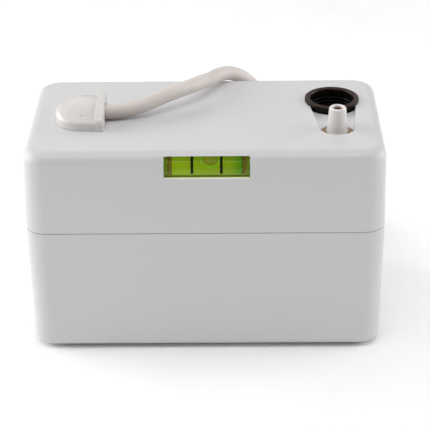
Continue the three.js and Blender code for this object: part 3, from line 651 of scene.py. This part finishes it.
RECESS = 2.0  # depth of the drop-shaped recess round the sleeve and the spigot
SLEEVE_R = upright("inlet_sleeve")[0]
OUTLET_HOLE_R = 7.2
CORD_HOLE = Vector((-56, HOOD_Y))
HOLE_LOW = TOP - 9  # where the cutters of the cover's round holes start
SEAT_R = 4.95  # round seat of the vial in the front wall
SEAT_HALF = 18.5
WINDOW_LOW = Vector((-16.6, TOP - 11.15))  # the window's corners, as (x, z)
WINDOW_HIGH = Vector((18.9, TOP - 1.5))
WINDOW_BACK = -35.4
LEDGE_TOP = SEAM - 2.7  # the ledge inside the tank that carries its seal
LEDGE_REACH = 4.4


def drop_outline(grow):
    """Drop shape round the sleeve and the spigot."""
    small = OUTLET_HOLE_R + grow
    large = SLEEVE_R - 1.4 + grow
    reach = Vector((INLET.x - OUTLET.x, INLET.y - OUTLET.y))
    along = math.atan2(reach.y, reach.x)
    spread = math.acos((small - large) / reach.length)
    steps = 40
    points = []
    for centre, radius, start, sweep in ((OUTLET, small, along + spread, 2 * math.pi - 2 * spread),
                                         (INLET, large, along - spread, 2 * spread)):
        points += [polar(centre, radius, start + sweep * k / steps) for k in range(steps + 1)]
    return points


def outlet_outline(grow):
    """Round hole of the spigot."""
    return [polar(OUTLET, OUTLET_HOLE_R - 0.15 + grow, turn) for turn in full_turn(96)]


def flared(name, outline_of, bottom, top, lip):
    """A cutter whose mouth at height `top` widens in a round lip."""
    levels = [(bottom, 0)]
    levels += [(top + 0.01 - lip * drop, lip * draw) for draw, drop in easing(5)]
    levels.append((top + 2, lip))
    return lofted(name, [at_height(outline_of(grow), z) for z, grow in levels])


def window_cutter():
    half = (WINDOW_HIGH - WINDOW_LOW) / 2
    centre = (WINDOW_HIGH + WINDOW_LOW) / 2
    outline = [(centre.x + x, centre.y + z) for x, z in round_rect(half.x, half.y, 0.7, 4)]
    return lofted("window", [[(x, y, z) for x, z in outline] for y in (-HALF_Y - 5, WINDOW_BACK)])


def at_window(point):
    """True on the edges that the window has in the front face."""
    margin = 0.6
    in_width = WINDOW_LOW.x - margin < point.x < WINDOW_HIGH.x + margin
    in_height = WINDOW_LOW.y - margin < point.z < WINDOW_HIGH.y + margin
    return point.y < -HALF_Y + 1.9 and in_width and in_height


def make_casing():
    cover = casing_half("casing_cover", SEAM + SEAM_GAP / 2, TOP, TOP_EDGE_R)
    joined(cover, [prism("pad", drop_outline(2), TOP - 5, TOP - 1.2)])
    carved(cover, [
        flared("recess", drop_outline, TOP - RECESS, TOP, 0.5),
        rod("sleeve_hole", INLET, SLEEVE_R - 0.3, HOLE_LOW, TOP + 1),
        flared("outlet_hole", outlet_outline, HOLE_LOW, TOP - RECESS, 0.25),
        rod("cord_hole", CORD_HOLE, 5, HOLE_LOW, TOP + 1, 48),
        along_x(rod("vial_pocket", (0, 0), SEAT_R, -SEAT_HALF, SEAT_HALF, 64), VIAL),
        window_cutter(),
    ])
    rounded(cover, 0.45, at_window)
    dress(cover, "shell_white", "head", "top_cover")

    ledge = [
        casing_outline(WALL + 0.05, LEDGE_TOP),
        casing_outline(LEDGE_REACH - 0.2, LEDGE_TOP),
        casing_outline(LEDGE_REACH, LEDGE_TOP - 0.2),
        casing_outline(LEDGE_REACH, LEDGE_TOP - 0.9),
        casing_outline(WALL + 0.05, LEDGE_TOP - 2.4),
    ]
    base = casing_half("casing_tank", SEAM - SEAM_GAP / 2, FLOOR, BASE_EDGE_R, ledge)
    carved(base, [rod("socket", middle(f"foot_{i}"), 6.3, -1, FLOOR + 0.9, 48) for i in range(1, 5)])
    dress(base, "shell_white", "tank", "reservoir")


def make_feet_and_gasket():
    for i in range(1, 5):
        node = f"foot_{i}"
        radius, _, top = upright(node)
        profile = [(0, 0), (3, 0, 0.3), (3.3, 0.35, 0.2), (radius - 0.6, 0.35, 0.2), (radius - 0.3, 0, 0.2),
                   (radius, 0.5, 0.3), (radius, top, 0.2), (0, top)]
        dress(turned(f"rubber_foot_{i}", middle(node), profile, 64), "foot_rubber", "tank", node)
    low, high = span("tank_seal")
    half_x, half_y = (high.x - low.x) / 2, (high.y - low.y) / 2
    section = eased([(0, low.z, 0.3), (1.5, low.z, 0.3), (1.5, high.z, 0.7), (0, high.z, 0.7)], 4)
    levels = [at_height(round_rect(half_x - inset, half_y - inset, 6.3 - inset), z) for inset, z in section]
    dress(lofted("rim_gasket", levels, closed=True), "seal_silicone", "tank", "tank_seal", slot="grommet_tan")
    # Painted shade: a pinkish strip just inside the seam gap stands in for the shade in the gap.
    section = ((0.2, -0.09), (1.6, -0.09), (1.6, 0.09), (0.2, 0.09))
    levels = [casing_outline(inset, SEAM + z) for inset, z in section]
    dress(lofted("seam_shade_strip", levels, closed=True), "seam_shade_pink", "tank", slot="grommet_tan")


# ---- cord hood ----
HOOD_HALF = 12  # half its width, and the radius of its left end
HOOD_RIGHT = -44.9
HOOD_LIFT = 0.1  # the hood's gap over the cover
HOOD_SLOPE = 0.24  # share by which the hood's heights grow from its middle to its back
COLLAR_LEFT = -46.4
COLLAR_RIGHT = -42.5
COLLAR_HALF = 12.4
COLLAR_EASE = 0.9


def hood_outline(inset):
    """Plan of the hood: its left end is round, and so are its two corners beside the collar."""
    half = HOOD_HALF - inset
    left = HOOD[0].x + HOOD_HALF
    right = HOOD_RIGHT - inset * 0.3
    corner = min(2.5 + inset * 0.8, half)
    points = [polar((left, HOOD_Y), half, math.pi / 2 + math.pi * k / 28) for k in range(29)]
    for centre_y, start in ((HOOD_Y - half + corner, -math.pi / 2), (HOOD_Y + half - corner, 0)):
        points += [polar((right - corner, centre_y), corner, start + math.pi / 2 * k / 10) for k in range(11)]
    return points


def sloped(y, height):
    return TOP + height * (1 + HOOD_SLOPE * (y - HOOD_Y) / HOOD_HALF)


def make_hood():
    crown = [(0, 0.15), (0.08, 0), (3.2, 0.12), (3.9, 0.25), (4.5, 0.55), (5, 0.95), (5.45, 1.5), (5.8, 2.15),
             (6.1, 2.9), (6.35, 3.7), (6.6, 4.7), (6.8, 5.8), (6.95, 7.2), (7.05, 8.6), (7.1, 10.2),
             (7.12, 11.4)]
    levels = [[(x, y, sloped(y, HOOD_LIFT + z)) for x, y in hood_outline(inset)] for z, inset in crown]
    hood = lofted("lead_hood", levels)
    sections = [(COLLAR_LEFT, 0.2), (COLLAR_LEFT + 0.2, 0)]
    sections += [(COLLAR_RIGHT - COLLAR_EASE * b, COLLAR_EASE * a) for a, b in easing(5)]
    levels = []
    for x, drop in sections:
        half, height, corner = COLLAR_HALF - drop, 7.9 - drop, 4.5 - drop
        corners = [(-half, HOOD_LIFT), (half, HOOD_LIFT), (half, height, corner), (-half, height, corner)]
        arch = eased(corners, 12)
        levels.append([(x, HOOD_Y + y, sloped(HOOD_Y + y, z)) for y, z in arch])
    joined(hood, [lofted("collar", levels)])
    mouth_start = COLLAR_RIGHT - 3
    mouth_r = CORD_R + 0.32
    mouth_profile = [(0, -0.3), (mouth_r, -0.3), (mouth_r, 2.4, 0.3), (CORD_R + 1, 3.2), (0, 3.2)]
    mouth = turned("mouth", (0, 0), mouth_profile, 48)
    throat = rod("throat", (0, 0), CORD_R - 0.3, -13, 1, 48)
    carved(hood, [
        along_x(mouth, (mouth_start, HOOD_Y, TOP + CORD_RISE)),
        along_x(throat, (mouth_start, HOOD_Y, TOP + CORD_RISE - 0.6)),
    ])
    dress(hood, "hood_white", "head", "cord_hood", slot="cord_white", sharp=35)


# ---- cord and plug ----
# where the lead runs: over the cover, with heights over its top, and then down behind the casing
OVER_COVER = [
    (HOOD[1].x - 2, HOOD_Y, CORD_RISE), (-39.5, -4.6, CORD_RISE), (-34.3, -3.6, 3.9), (-26.7, -1.7, 5.1),
    (-19.7, 1.8, 6.8), (-12.7, 6.5, 7.8), (-5.9, 12.5, 7.9), (-1.1, 20.1, 6.7), (2, 26.8, 4.9),
    (6.3, 34.4, 4), (11.3, 39.9, 2.1), (16.3, 43.4, -1.4), (21.9, 45.7, -7.9), (24.8, 46.7, -15.3),
]
BEHIND = [
    (24.6, 47.5, 67.2), (20.5, 48.8, 52.2), (13.8, 49.8, 36.7), (7, 50.5, 21.6), (-0.9, 51, 10.6),
    (-9.2, 51.4, 5.2),
]
PITCH = 2 * CORD_R  # one turn beside or on the next
OUTER_TURN = 42.5
INNER_TURN = OUTER_TURN - 2 * PITCH
LOW_LAYER = CORD_R + 0.05
HIGH_LAYER = LOW_LAYER + PITCH
COIL_TURNS = 5.5
STEPS_PER_TURN = 48
PLUG = Vector((17.8, 117.1, 8.8))  # where the cord enters the plug
PLUG_HEADING = math.radians(-53.13)
TAIL_R = 56
TAIL_STEPS = 24
PIN_Y = 9.5  # half the distance between the pins


def smooth(share):
    return 3 * share ** 2 - 2 * share ** 3


def coil_turns():
    """The coil, clockwise from above: inwards on the floor, up, and outwards again on top."""
    points = []
    for k in range(1, int(COIL_TURNS * STEPS_PER_TURN) + 1):
        turn = k / STEPS_PER_TURN
        if turn <= 2:
            radius, height = OUTER_TURN - PITCH * turn, LOW_LAYER
        elif turn <= 3:
            radius = INNER_TURN - 2.7 * math.sin(math.pi * (turn - 2))
            height = LOW_LAYER + PITCH * smooth(turn - 2)
        else:
            radius, height = min(OUTER_TURN, INNER_TURN + PITCH * (turn - 3)), HIGH_LAYER
        points.append(Vector((*polar(COIL, radius, -math.pi / 2 - 2 * math.pi * turn), height)))
    return points


def tail_turns():
    """From the coil's last point round a wide arc down to the plug."""
    side = Vector((-math.sin(PLUG_HEADING), math.cos(PLUG_HEADING), 0))
    centre = PLUG - side * TAIL_R
    points = []
    for k in range(1, TAIL_STEPS + 1):
        share = k / TAIL_STEPS
        height = HIGH_LAYER + (PLUG.z - HIGH_LAYER) * smooth(share)
        points.append(Vector((*polar(centre, TAIL_R, math.pi / 2 + PLUG_HEADING * share), height)))
    return points


def make_cord(plug_pieces):
    over = [(x, y, TOP + rise) for x, y, rise in OVER_COVER]
    entry = (COIL.x, COIL.y - OUTER_TURN, LOW_LAYER)
    lead = route_through([*over, *BEHIND, (-18.5, 53.2, LOW_LAYER + 0.3), entry])
    line = lead + coil_turns() + tail_turns()
    cord = swept("mains_lead", line, CORD_R, 28)
    dress(cord, "cord_white", None)
    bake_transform(cord)
    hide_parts("cord_lead", "cord_coil", "cord_tail")


def make_tie():
    """Strap over the coil: a band round the turns it holds, down to the table on both sides."""
    ground, thickness, half = 0.1, 0.8, 4
    path = eased([(28.2, ground), (25, 3.6, 2), (23.2, 6.6, 2), (24.2, 10.6, 2), (29.5, 13.35, 3),
                  (42.2, 13.35, 2.5), (43.75, 9, 3), (42.1, 3.6, 2), (41.9, ground)])
    outside = []
    for before, here, after in zip([path[0], *path], path, [*path[1:], path[-1]]):
        run = (after - before).normalized()
        reach = here + Vector((-run.y, run.x)) * thickness
        outside.append(Vector((reach.x, max(ground, reach.y))))
    outline = [*path, *outside[::-1]]
    levels = [[(radius, y, z) for radius, z in outline] for y in (-half, half)]
    tie = rounded(lofted("coil_tie", levels), 0.25, lambda point: True, 60, 2)
    tie.data.transform(moved((COIL.x, COIL.y, 0)) @ Matrix.Rotation(math.pi / 4, 4, "Z"))
    dress(tie, "black_plastic", "tank")


def make_plug():
    """Two-pin plug that lies flat on its side beside the coil."""
    place = moved(PLUG) @ Matrix.Rotation(PLUG_HEADING, 4, "Z")
    pieces = []
    ribs = [(0, 0.3), (CORD_R + 0.35, 0.3), (CORD_R + 1.15, 0.4, 0.3)]
    for k in range(6):
        start = 2.4 + 3.1 * k
        outer = CORD_R + 1.2 + 0.32 * k
        ribs += [(outer, start, 0.3), (outer - 0.7, start + 0.4, 0.2), (outer - 0.6, start + 1.2, 0.2),
                 (outer + 0.2, start + 1.6, 0.3)]
    ribs += [(6.2, 21.2, 0.3), (6.2, 22), (0, 22)]
    boot = along_x(turned("plug_relief", (0, 0), ribs, 48, 3), (0, 0, 0))
    pieces.append((boot, "plug_boot", "cord_white"))

    # height, share of the full width and share of the full thickness
    sections = [(0, 0.6, 0.72), (0.7, 0.68, 0.82), (3, 0.79, 0.9), (7, 0.88, 0.96), (12, 0.95, 1),
                (20, 0.99, 1), (30, 1, 1), (32.8, 0.985, 0.985), (33.7, 0.97, 0.96), (34, 0.94, 0.92)]
    levels = [at_height(round_rect(8.6 * thick, 13 * wide, 6 * thick, 10), z) for z, wide, thick in sections]
    shell = along_x(lofted("plug_shell", levels), (22.3, 0, 0))
    cutters = [along_x(rod("well", (0, 0), 2.7, 0, 7, 32), (50.3, y, 0)) for y in (-PIN_Y, PIN_Y)]
    for k in range(5):
        for z in (-8.35, 8.35):
            x = 31 + 2.6 * k
            cutters.append(block("grip", (x, -6, z - 0.6), (x + 1.1, 6, z + 0.6)))
    carved(shell, cutters)
    pieces.append((shell, "plug_body", "cord_white"))

    for i, y in ((1, -PIN_Y), (2, PIN_Y)):
        profile = [(0, 0), (2.4, 0), (2.4, 22.6, 0.6), (1.7, 24, 0.8), (0, 24.2)]
        pin = along_x(turned(f"plug_prong_{i}", (0, 0), profile, 40), (50.6, y, 0))
        pieces.append((pin, f"plug_pin_{i}", "steel"))
    for piece, node, look in pieces:
        piece.data.transform(place)
        dress(piece, look, "tank", node)
    return [piece for piece, _, _ in pieces]


# ---- inlet and outlet ----
def make_inlet():
    bore = 9.4
    rim = SLEEVE_R
    profile = [  # heights over the cover's top
        (bore + 0.2, -26), (rim - 0.8, -26), (rim - 0.8, -0.9, 0.1), (rim, -0.6, 0.15), (rim, 1.25, 0.3),
        (rim - 0.5, 1.4, 0.2), (bore + 0.75, 1.1, 0.3), (bore + 0.6, 1.35, 0.12), (bore + 0.25, 1.35, 0.15),
        (bore, 0.9, 0.3), (bore, -1.6, 0.3),
    ]
    for k in range(4):
        rib = -2 - 1.7 * k
        profile += [(bore + 0.15, rib, 0.05), (bore + 0.15, rib - 0.6, 0.05), (bore, rib - 0.8, 0.05),
                    (bore, rib - 1.3, 0.05)]
    profile += [(bore - 1, -9.4, 0.4), (bore - 1, -16, 0.4), (bore + 0.2, -17, 0.3)]
    sleeve = turned("inlet_gland", INLET, [(radius, TOP + z, *ease) for radius, z, *ease in profile], 128, 4)
    dress(sleeve, "sleeve_rubber", "head", "inlet_sleeve")

    outer, low, high = upright("inlet_duct")
    shelf = 53
    profile = [(outer - 4.5, low, 0.4), (outer, low, 0.8), (outer, high, 0.3), (outer - 1.7, high, 0.3),
               (outer - 1.7, shelf, 0.4), (outer - 4.5, shelf, 0.4)]
    dress(turned("drain_duct", INLET, profile, 96, 4), "inner_ivory", "head", "inlet_duct")
    outer, low, high = upright("inlet_filter")
    profile = [(0, low), (outer, low, 0.5), (outer, high, 0.3), (outer - 1.2, high, 0.3),
               (outer - 1.2, low + 1.3, 0.4), (0, low + 1.3)]
    basket = turned("filter_basket", INLET, profile, 80, 4)
    slots = [block("slot", (INLET.x - 7.2, INLET.y + y - 0.8, 52), (INLET.x + 7.2, INLET.y + y + 0.8, 56))
             for y in (-6, -3, 0, 3, 6)]
    dress(carved(basket, slots), "black_plastic", "head", "inlet_filter")


def make_outlet():
    flange, low, high = upright("outlet_spigot")
    tip, foot, bore = 3.6, 4.4, 2.0
    profile = [
        (bore, low), (flange, low, 0.3), (flange, low + 2.7, 0.4), (foot + 0.2, low + 3.3, 0.4),
        (foot + 0.12, TOP - 2.5, 0.3), (foot + 0.3, TOP - 2.2, 0.2), (foot + 0.3, TOP - 1.5, 0.25),
        (foot, TOP - 0.9, 0.5), (tip, high - 0.35, 0.35), (tip - 0.35, high, 0.25),
        (bore + 0.25, high, 0.2), (bore, high - 0.5, 0.2),
    ]
    spigot = turned("discharge_spigot", OUTLET, profile)
    dress(spigot, "spigot_white", "head", "outlet_spigot", slot="shell_white")
    # Painted shade: a reddish-brown sleeve down the spigot's bore stands in for the shade in it.
    bottom, top, inner, outer = TOP - 6, high - 0.7, bore - 0.25, bore - 0.04
    bore_shade = turned("spigot_bore_shade", OUTLET, [(inner, bottom), (outer, bottom), (outer, top), (inner, top)], 64)
    dress(bore_shade, "spigot_bore_shade", "head", slot="grommet_tan")
    # Painted shade: a tan ring in the hole round the spigot stands in for the shade in that gap.
    outer, low, high = upright("outlet_grommet")
    inner = foot + 0.35
    section = [(inner, low, 0.2), (outer, low, 0.2), (outer, high - 0.1, 0.4),
               (inner + 1.1, high + 0.15, 0.3), (inner, high - 0.2, 0.3)]
    dress(turned("spigot_hole_shade_ring", OUTLET, section, 80, 4), "grommet_tan", "head", "outlet_grommet")


# ---- spirit level ----
def make_level():
    half, low, high = upright("level_vial")
    outer = (high - low) / 2
    bore = outer - 0.28
    fill = bore - 0.05
    wall = [(bore, -half), (outer, -half, 0.3), (outer, half, 0.3), (bore, half)]
    tube = along_x(turned("level_tube", (0, 0), wall, 72, 3), VIAL)
    dress(tube, "acrylic", "head", "level_vial")
    for side, node in ((-1, "vial_end_left"), (1, "vial_end_right")):
        near = half - 3.4
        cap = [(0, near), (fill, near, 0.1), (fill, near + 1.4, 0.1), (fill - 0.3, near + 1.5, 0.1),
               (fill - 0.3, near + 1.8, 0.1), (fill, near + 1.9, 0.1), (fill, half, 0.3), (0, half)]
        plug = turned(f"level_stop_{'left' if side < 0 else 'right'}", (0, 0), cap, 56, 3)
        plug.data.transform(Matrix.Scale(side, 4, (0, 0, 1)))
        if side < 0:
            plug.data.flip_normals()
        dress(along_x(plug, VIAL), "vial_stop", "head", node, slot="acrylic")

    reach = upright("vial_fluid")[0]
    body = [(0, -reach), (fill, -reach, 0.1), (fill, reach, 0.1), (0, reach)]
    fluid = along_x(turned("level_liquid", (0, 0), body, 72, 4), VIAL)
    dome = [polar((0, 0), 1, math.pi * (k / 16 - 0.5)) for k in range(1, 16)]
    bubble = turned("bubble", (0, 0), [(0, -1), *dome, (0, 1)], 40)
    bubble.data.transform(moved(BUBBLE) @ Matrix.Diagonal((*BUBBLE_HALF, 1)))
    dress(carved(fluid, [bubble]), "vial_fluid", "head", "vial_fluid", sharp=50)

    for node in ("vial_mark_left", "vial_mark_right"):
        at = middle(node).x
        inner, skin, end = outer + 0.03, outer + 0.1, 0.55
        band = [(inner, -end), (skin, -end, 0.02), (skin, end, 0.02), (inner, end)]
        line = along_x(turned(node.replace("vial", "level"), (0, 0), band, 72, 2), (at, VIAL.y, VIAL.z))
        rest = block("rest", (at - 1, VIAL.y - 6, VIAL.z - 6), (at + 1, VIAL.y + 6, VIAL.z - 1.7))
        dress(carved(line, [rest]), "vial_ink", "head", node, slot="black_plastic")

    strip = block("window_sill", (WINDOW_LOW.x + 0.1, -HALF_Y + 0.7, WINDOW_LOW.y - 0.3),
                  (WINDOW_HIGH.x - 0.1, VIAL.y - 3.45, WINDOW_LOW.y + 0.25))
    dress(strip, "sill_white", "head", slot="shell_white")

    cradle = block("level_seat", *span("level_cradle"))
    groove = along_x(rod("groove", (0, 0), outer + 0.55, -19, 19, 72), VIAL)
    under = block("under", (-40, VIAL.y - 2, VIAL.z - 6.5), (40, VIAL.y, VIAL.z - 1.5))
    front = block("front", (VIAL.x - 18.2, VIAL.y - 2, VIAL.z - 7), (VIAL.x + 18.2, VIAL.y, VIAL.z + 7))
    dress(carved(cradle, [groove, under, front]), "shell_white", "head", "level_cradle")


# ---- pump head under the plate ----
RISER_X = 12  # the upright stretch of the delivery hose
VOLUTE_R = 17
DELIVERY_Z = 14.5  # axis of the volute's outlet
VALVE_Z = 65.2  # axis of the check valve's inlet


def make_chassis():
    low, high = PLATE
    under = SEAM + 0.2
    top = under + 2.5
    plate = prism("pump_chassis", round_rect(high.x, high.y, CORNER_R - 2.9), under, top)
    outer, inner = (round_rect(high.x - 1.9 - d, high.y - 1.9 - d, 4.2 - d) for d in (0, 1.6))
    rims = [(outer, low.z), (inner, low.z), (inner, under + 1), (outer, under + 1)]
    joined(plate, [lofted("lip", [at_height(outline, z) for outline, z in rims], closed=True)])
    holes = [(INLET, SLEEVE_R + 1.6), (PUMP, 5), (FLOAT, 3.4), (Vector((RISER_X, PUMP.y)), 4)]
    holes += [(middle(f"chassis_screw_{i}"), 1.7) for i in range(1, 5)]
    carved(plate, [rod("hole", at, radius, under - 1, top + 1, 48) for at, radius in holes])
    dress(plate, "inner_ivory", "head", "chassis_plate")


def make_pump_column():
    at_pump = moved((PUMP.x, PUMP.y, 0))
    outer, low, high = upright("shaft_column")
    profile = [(3.2, low), (7.5, low, 0.4), (7.5, 53, 2), (outer, 55, 0.5), (outer, high, 0.3),
               (3.2, high)]
    column = turned("shaft_tube", PUMP, profile, 80)
    fins = []
    for k in range(4):
        fin = block("fin", (6.5, -0.8, 24), (9.2, 0.8, 54.6))
        fin.data.transform(at_pump @ Matrix.Rotation(math.pi * (k / 2 + 0.25), 4, "Z"))
        fins.append(fin)
    dress(joined(column, fins), "inner_ivory", "head", "shaft_column")

    _, low, high = upright("volute")
    roof = high - 2.4
    profile = [(3.2, roof), (15, roof, 0.5), (15, low), (VOLUTE_R, low, 0.2), (VOLUTE_R, high, 1.2),
               (3.2, high)]
    volute = turned("pump_casing", PUMP, profile)
    outlet = (PUMP.x, PUMP.y, DELIVERY_Z)
    stub = [(0, VOLUTE_R - 1.5), (3.4, VOLUTE_R - 1.5), (3.4, 21, 0.3), (3, 21.6, 0.2), (3.4, 22.2, 0.2),
            (3.1, 24, 0.3), (0, 24)]
    joined(volute, [along_x(turned("stub", (0, 0), stub, 48, 4), outlet)])
    carved(volute, [along_x(rod("bore", (0, 0), 1.9, VOLUTE_R - 4, 25, 40), outlet)])
    dress(volute, "inner_ivory", "head", "volute")

    _, low, high = upright("strainer")
    ring = [(3.5, low, 0.3), (VOLUTE_R, low, 0.8), (VOLUTE_R, high, 0.2), (3.5, high, 0.3)]
    strainer = turned("intake_strainer", PUMP, ring, 96, 4)
    slots = []
    for k in range(10):
        slot = block("slot", (6.5, -0.8, 4), (14, 0.8, 9))
        slot.data.transform(at_pump @ Matrix.Rotation(math.pi * k / 5, 4, "Z"))
        slots.append(slot)
    dress(carved(strainer, slots), "inner_ivory", "head", "strainer")

    stub_end = PUMP.x + 24.3
    valve_start = OUTLET.x - 11.3
    route = [(stub_end, PUMP.y, DELIVERY_Z), (5, PUMP.y, DELIVERY_Z), (10.8, PUMP.y, 20),
             (RISER_X, PUMP.y, 32), (RISER_X, PUMP.y, 52), (12.3, PUMP.y - 0.6, 61), (16.5, -2, 66.2),
             (25, -8.6, 66.8), (34, -13.4, 65.8), (40, OUTLET.y, VALVE_Z), (valve_start, OUTLET.y, VALVE_Z)]
    hose = swept("riser_hose", route_through(route, 1.2), 3, 28, inner=2.1)
    dress(hose, "hose_pvc", "head", "delivery_hose", slot="acrylic")


def make_float():
    _, low, high = upright("float_stem")
    collar_low, collar_high = 54.4, 57.6
    profile = [(0, low), (2.4, low, 0.3), (3, low + 0.8, 0.3), (3, collar_low, 0.4), (6, collar_low, 0.3),
               (6, collar_high, 0.2), (3, collar_high), (3, high, 0.4), (0, high)]
    dress(turned("float_rod", FLOAT, profile, 64, 4), "black_plastic", "head", "float_stem")
    _, low, high = upright("float_clip")
    clip = [(3.35, low, 0.1), (5.4, low, 0.3), (5.4, high, 0.3), (3.35, high, 0.1)]
    dress(turned("float_ring", FLOAT, clip, 56, 3), "steel", "head", "float_clip")
    _, low, high = upright("float_drum")
    drum = [(3.4, low, 0.2), (9.8, low, 1), (11, low + 1.4, 0.8), (11, low + 6.4, 0.15),
            (10.6, low + 6.7, 0.15), (10.6, low + 7.3, 0.15), (11, low + 7.6, 0.15),
            (11, high - 1.4, 0.8), (9.8, high, 1), (7.4, high, 0.2), (7.4, high - 3.5, 0.2),
            (4.5, high - 3.5, 0.2), (4.5, high, 0.2), (3.4, high, 0.2)]
    dress(turned("float_body", FLOAT, drum, 80, 4), "blue_plastic", "float", "float_drum")
    _, low, high = upright("float_magnet")
    magnet = [(4.8, low, 0.2), (7.1, low, 0.2), (7.1, high, 0.3), (4.8, high, 0.3)]
    dress(turned("float_magnet_ring", FLOAT, magnet, 64, 3), "black_plastic", "float", "float_magnet")


# ---- CAD nodes that stay ----
def dress_the_rest():
    """Nodes whose CAD shape stays get their slot's material."""
    for part in frame["record"]["subparts"]:
        node = frame["nodes"][part["node"]]
        if node.hide_render:
            continue
        node.data.materials.clear()
        node.data.materials.append(LOOKS[part["material_slot"]])
        for polygon in node.data.polygons:
            polygon.material_index = 0


# ---- stage ----
LIGHTS = [  # name, place, size, watts; metres from the middle of the table under the pump
    ("left_front", (-0.9, -0.05, 0.35), (0.7, 0.7), 2.7),
    ("left_back", (-0.8, 0.25, 0.35), (0.7, 0.6), 4.6),
    ("right_front", (0.9, -0.05, 0.35), (0.5, 0.5), 1.7),
    ("right_back", (0.8, 0.25, 0.3), (0.4, 0.4), 2),
    ("overhead", (0, 0.05, 1.3), (1.2, 1), 2.4),
    ("front", (0, -0.35, 1.1), (1, 0.4), 4.3),
    ("back", (0.1, 1, 0.7), (1, 0.5), 1.3),
]
LIGHTS_AIM = (0, 0, 0.05)


def make_floor():
    look = Look("floor_paper")
    colour = look.mix(look.cloud(60, 4), 0xF7F7F6, 0xFBFBFB)
    normal = look.bump(look.noise(1.5, 3), 0.02)
    look.coat(colour, look.cloud(8, 3, 0.85, 0.95), normal)
    floor = prism("floor", round_rect(3000, 3000, 600, 8), -3, 0)
    floor.data.materials.append(LOOKS["floor_paper"])


def make_light(name, place, size, energy, aim=LIGHTS_AIM):
    light = bpy.data.lights.new(name, "AREA")
    light.shape = "RECTANGLE"
    light.size, light.size_y = size
    light.energy = energy
    lamp = bpy.data.objects.new(name, light)
    lamp.location = place
    lamp.rotation_euler = (Vector(aim) - Vector(place)).to_track_quat("-Z", "Y").to_euler()
    lamp.visible_camera = False
    bpy.context.scene.collection.objects.link(lamp)


def make_world(strength):
    world = bpy.data.worlds.new("studio")
    world.use_nodes = True
    background = world.node_tree.nodes["Background"]
    background.inputs["Color"].default_value = (1, 1, 1, 1)
    background.inputs["Strength"].default_value = strength
    bpy.context.scene.world = world


def make_camera():
    azimuth, elevation, roll = (math.radians(x) for x in (0.846, 28.082, -0.758))
    distance = 0.68807
    target = Vector((3.66, 0, FLOOR + 43.66)) * MM
    back = Vector((math.sin(azimuth) * math.cos(elevation), -math.cos(azimuth) * math.cos(elevation),
                   math.sin(elevation)))
    right = Vector((math.cos(azimuth), math.sin(azimuth), 0))
    up = back.cross(right)
    rolled_right = right * math.cos(roll) + up * math.sin(roll)
    rolled_up = up * math.cos(roll) - right * math.sin(roll)
    data = bpy.data.cameras.new("camera")
    data.lens = 129.13
    data.sensor_width = 36
    data.clip_start = 0.05
    data.clip_end = 20
    camera = bpy.data.objects.new("camera", data)
    axes = Matrix((rolled_right, rolled_up, back)).transposed().to_4x4()
    camera.matrix_world = Matrix.Translation(target + back * distance) @ axes
    bpy.context.scene.collection.objects.link(camera)
    bpy.context.scene.camera = camera


make_camera()
make_cord(make_plug())
make_tie()
make_casing()
make_feet_and_gasket()
make_hood()
make_inlet()
make_outlet()
make_level()
make_chassis()
make_pump_column()
make_float()
dress_the_rest()
make_floor()
make_world(0.3)
for row in LIGHTS:
    make_light(*row)
make_light("low", (0.02, -0.17, 0.018), (0.5, 0.03), 0.025, aim=(0.02, 0, 0.018))
bpy.context.scene.view_settings.view_transform = "Standard"
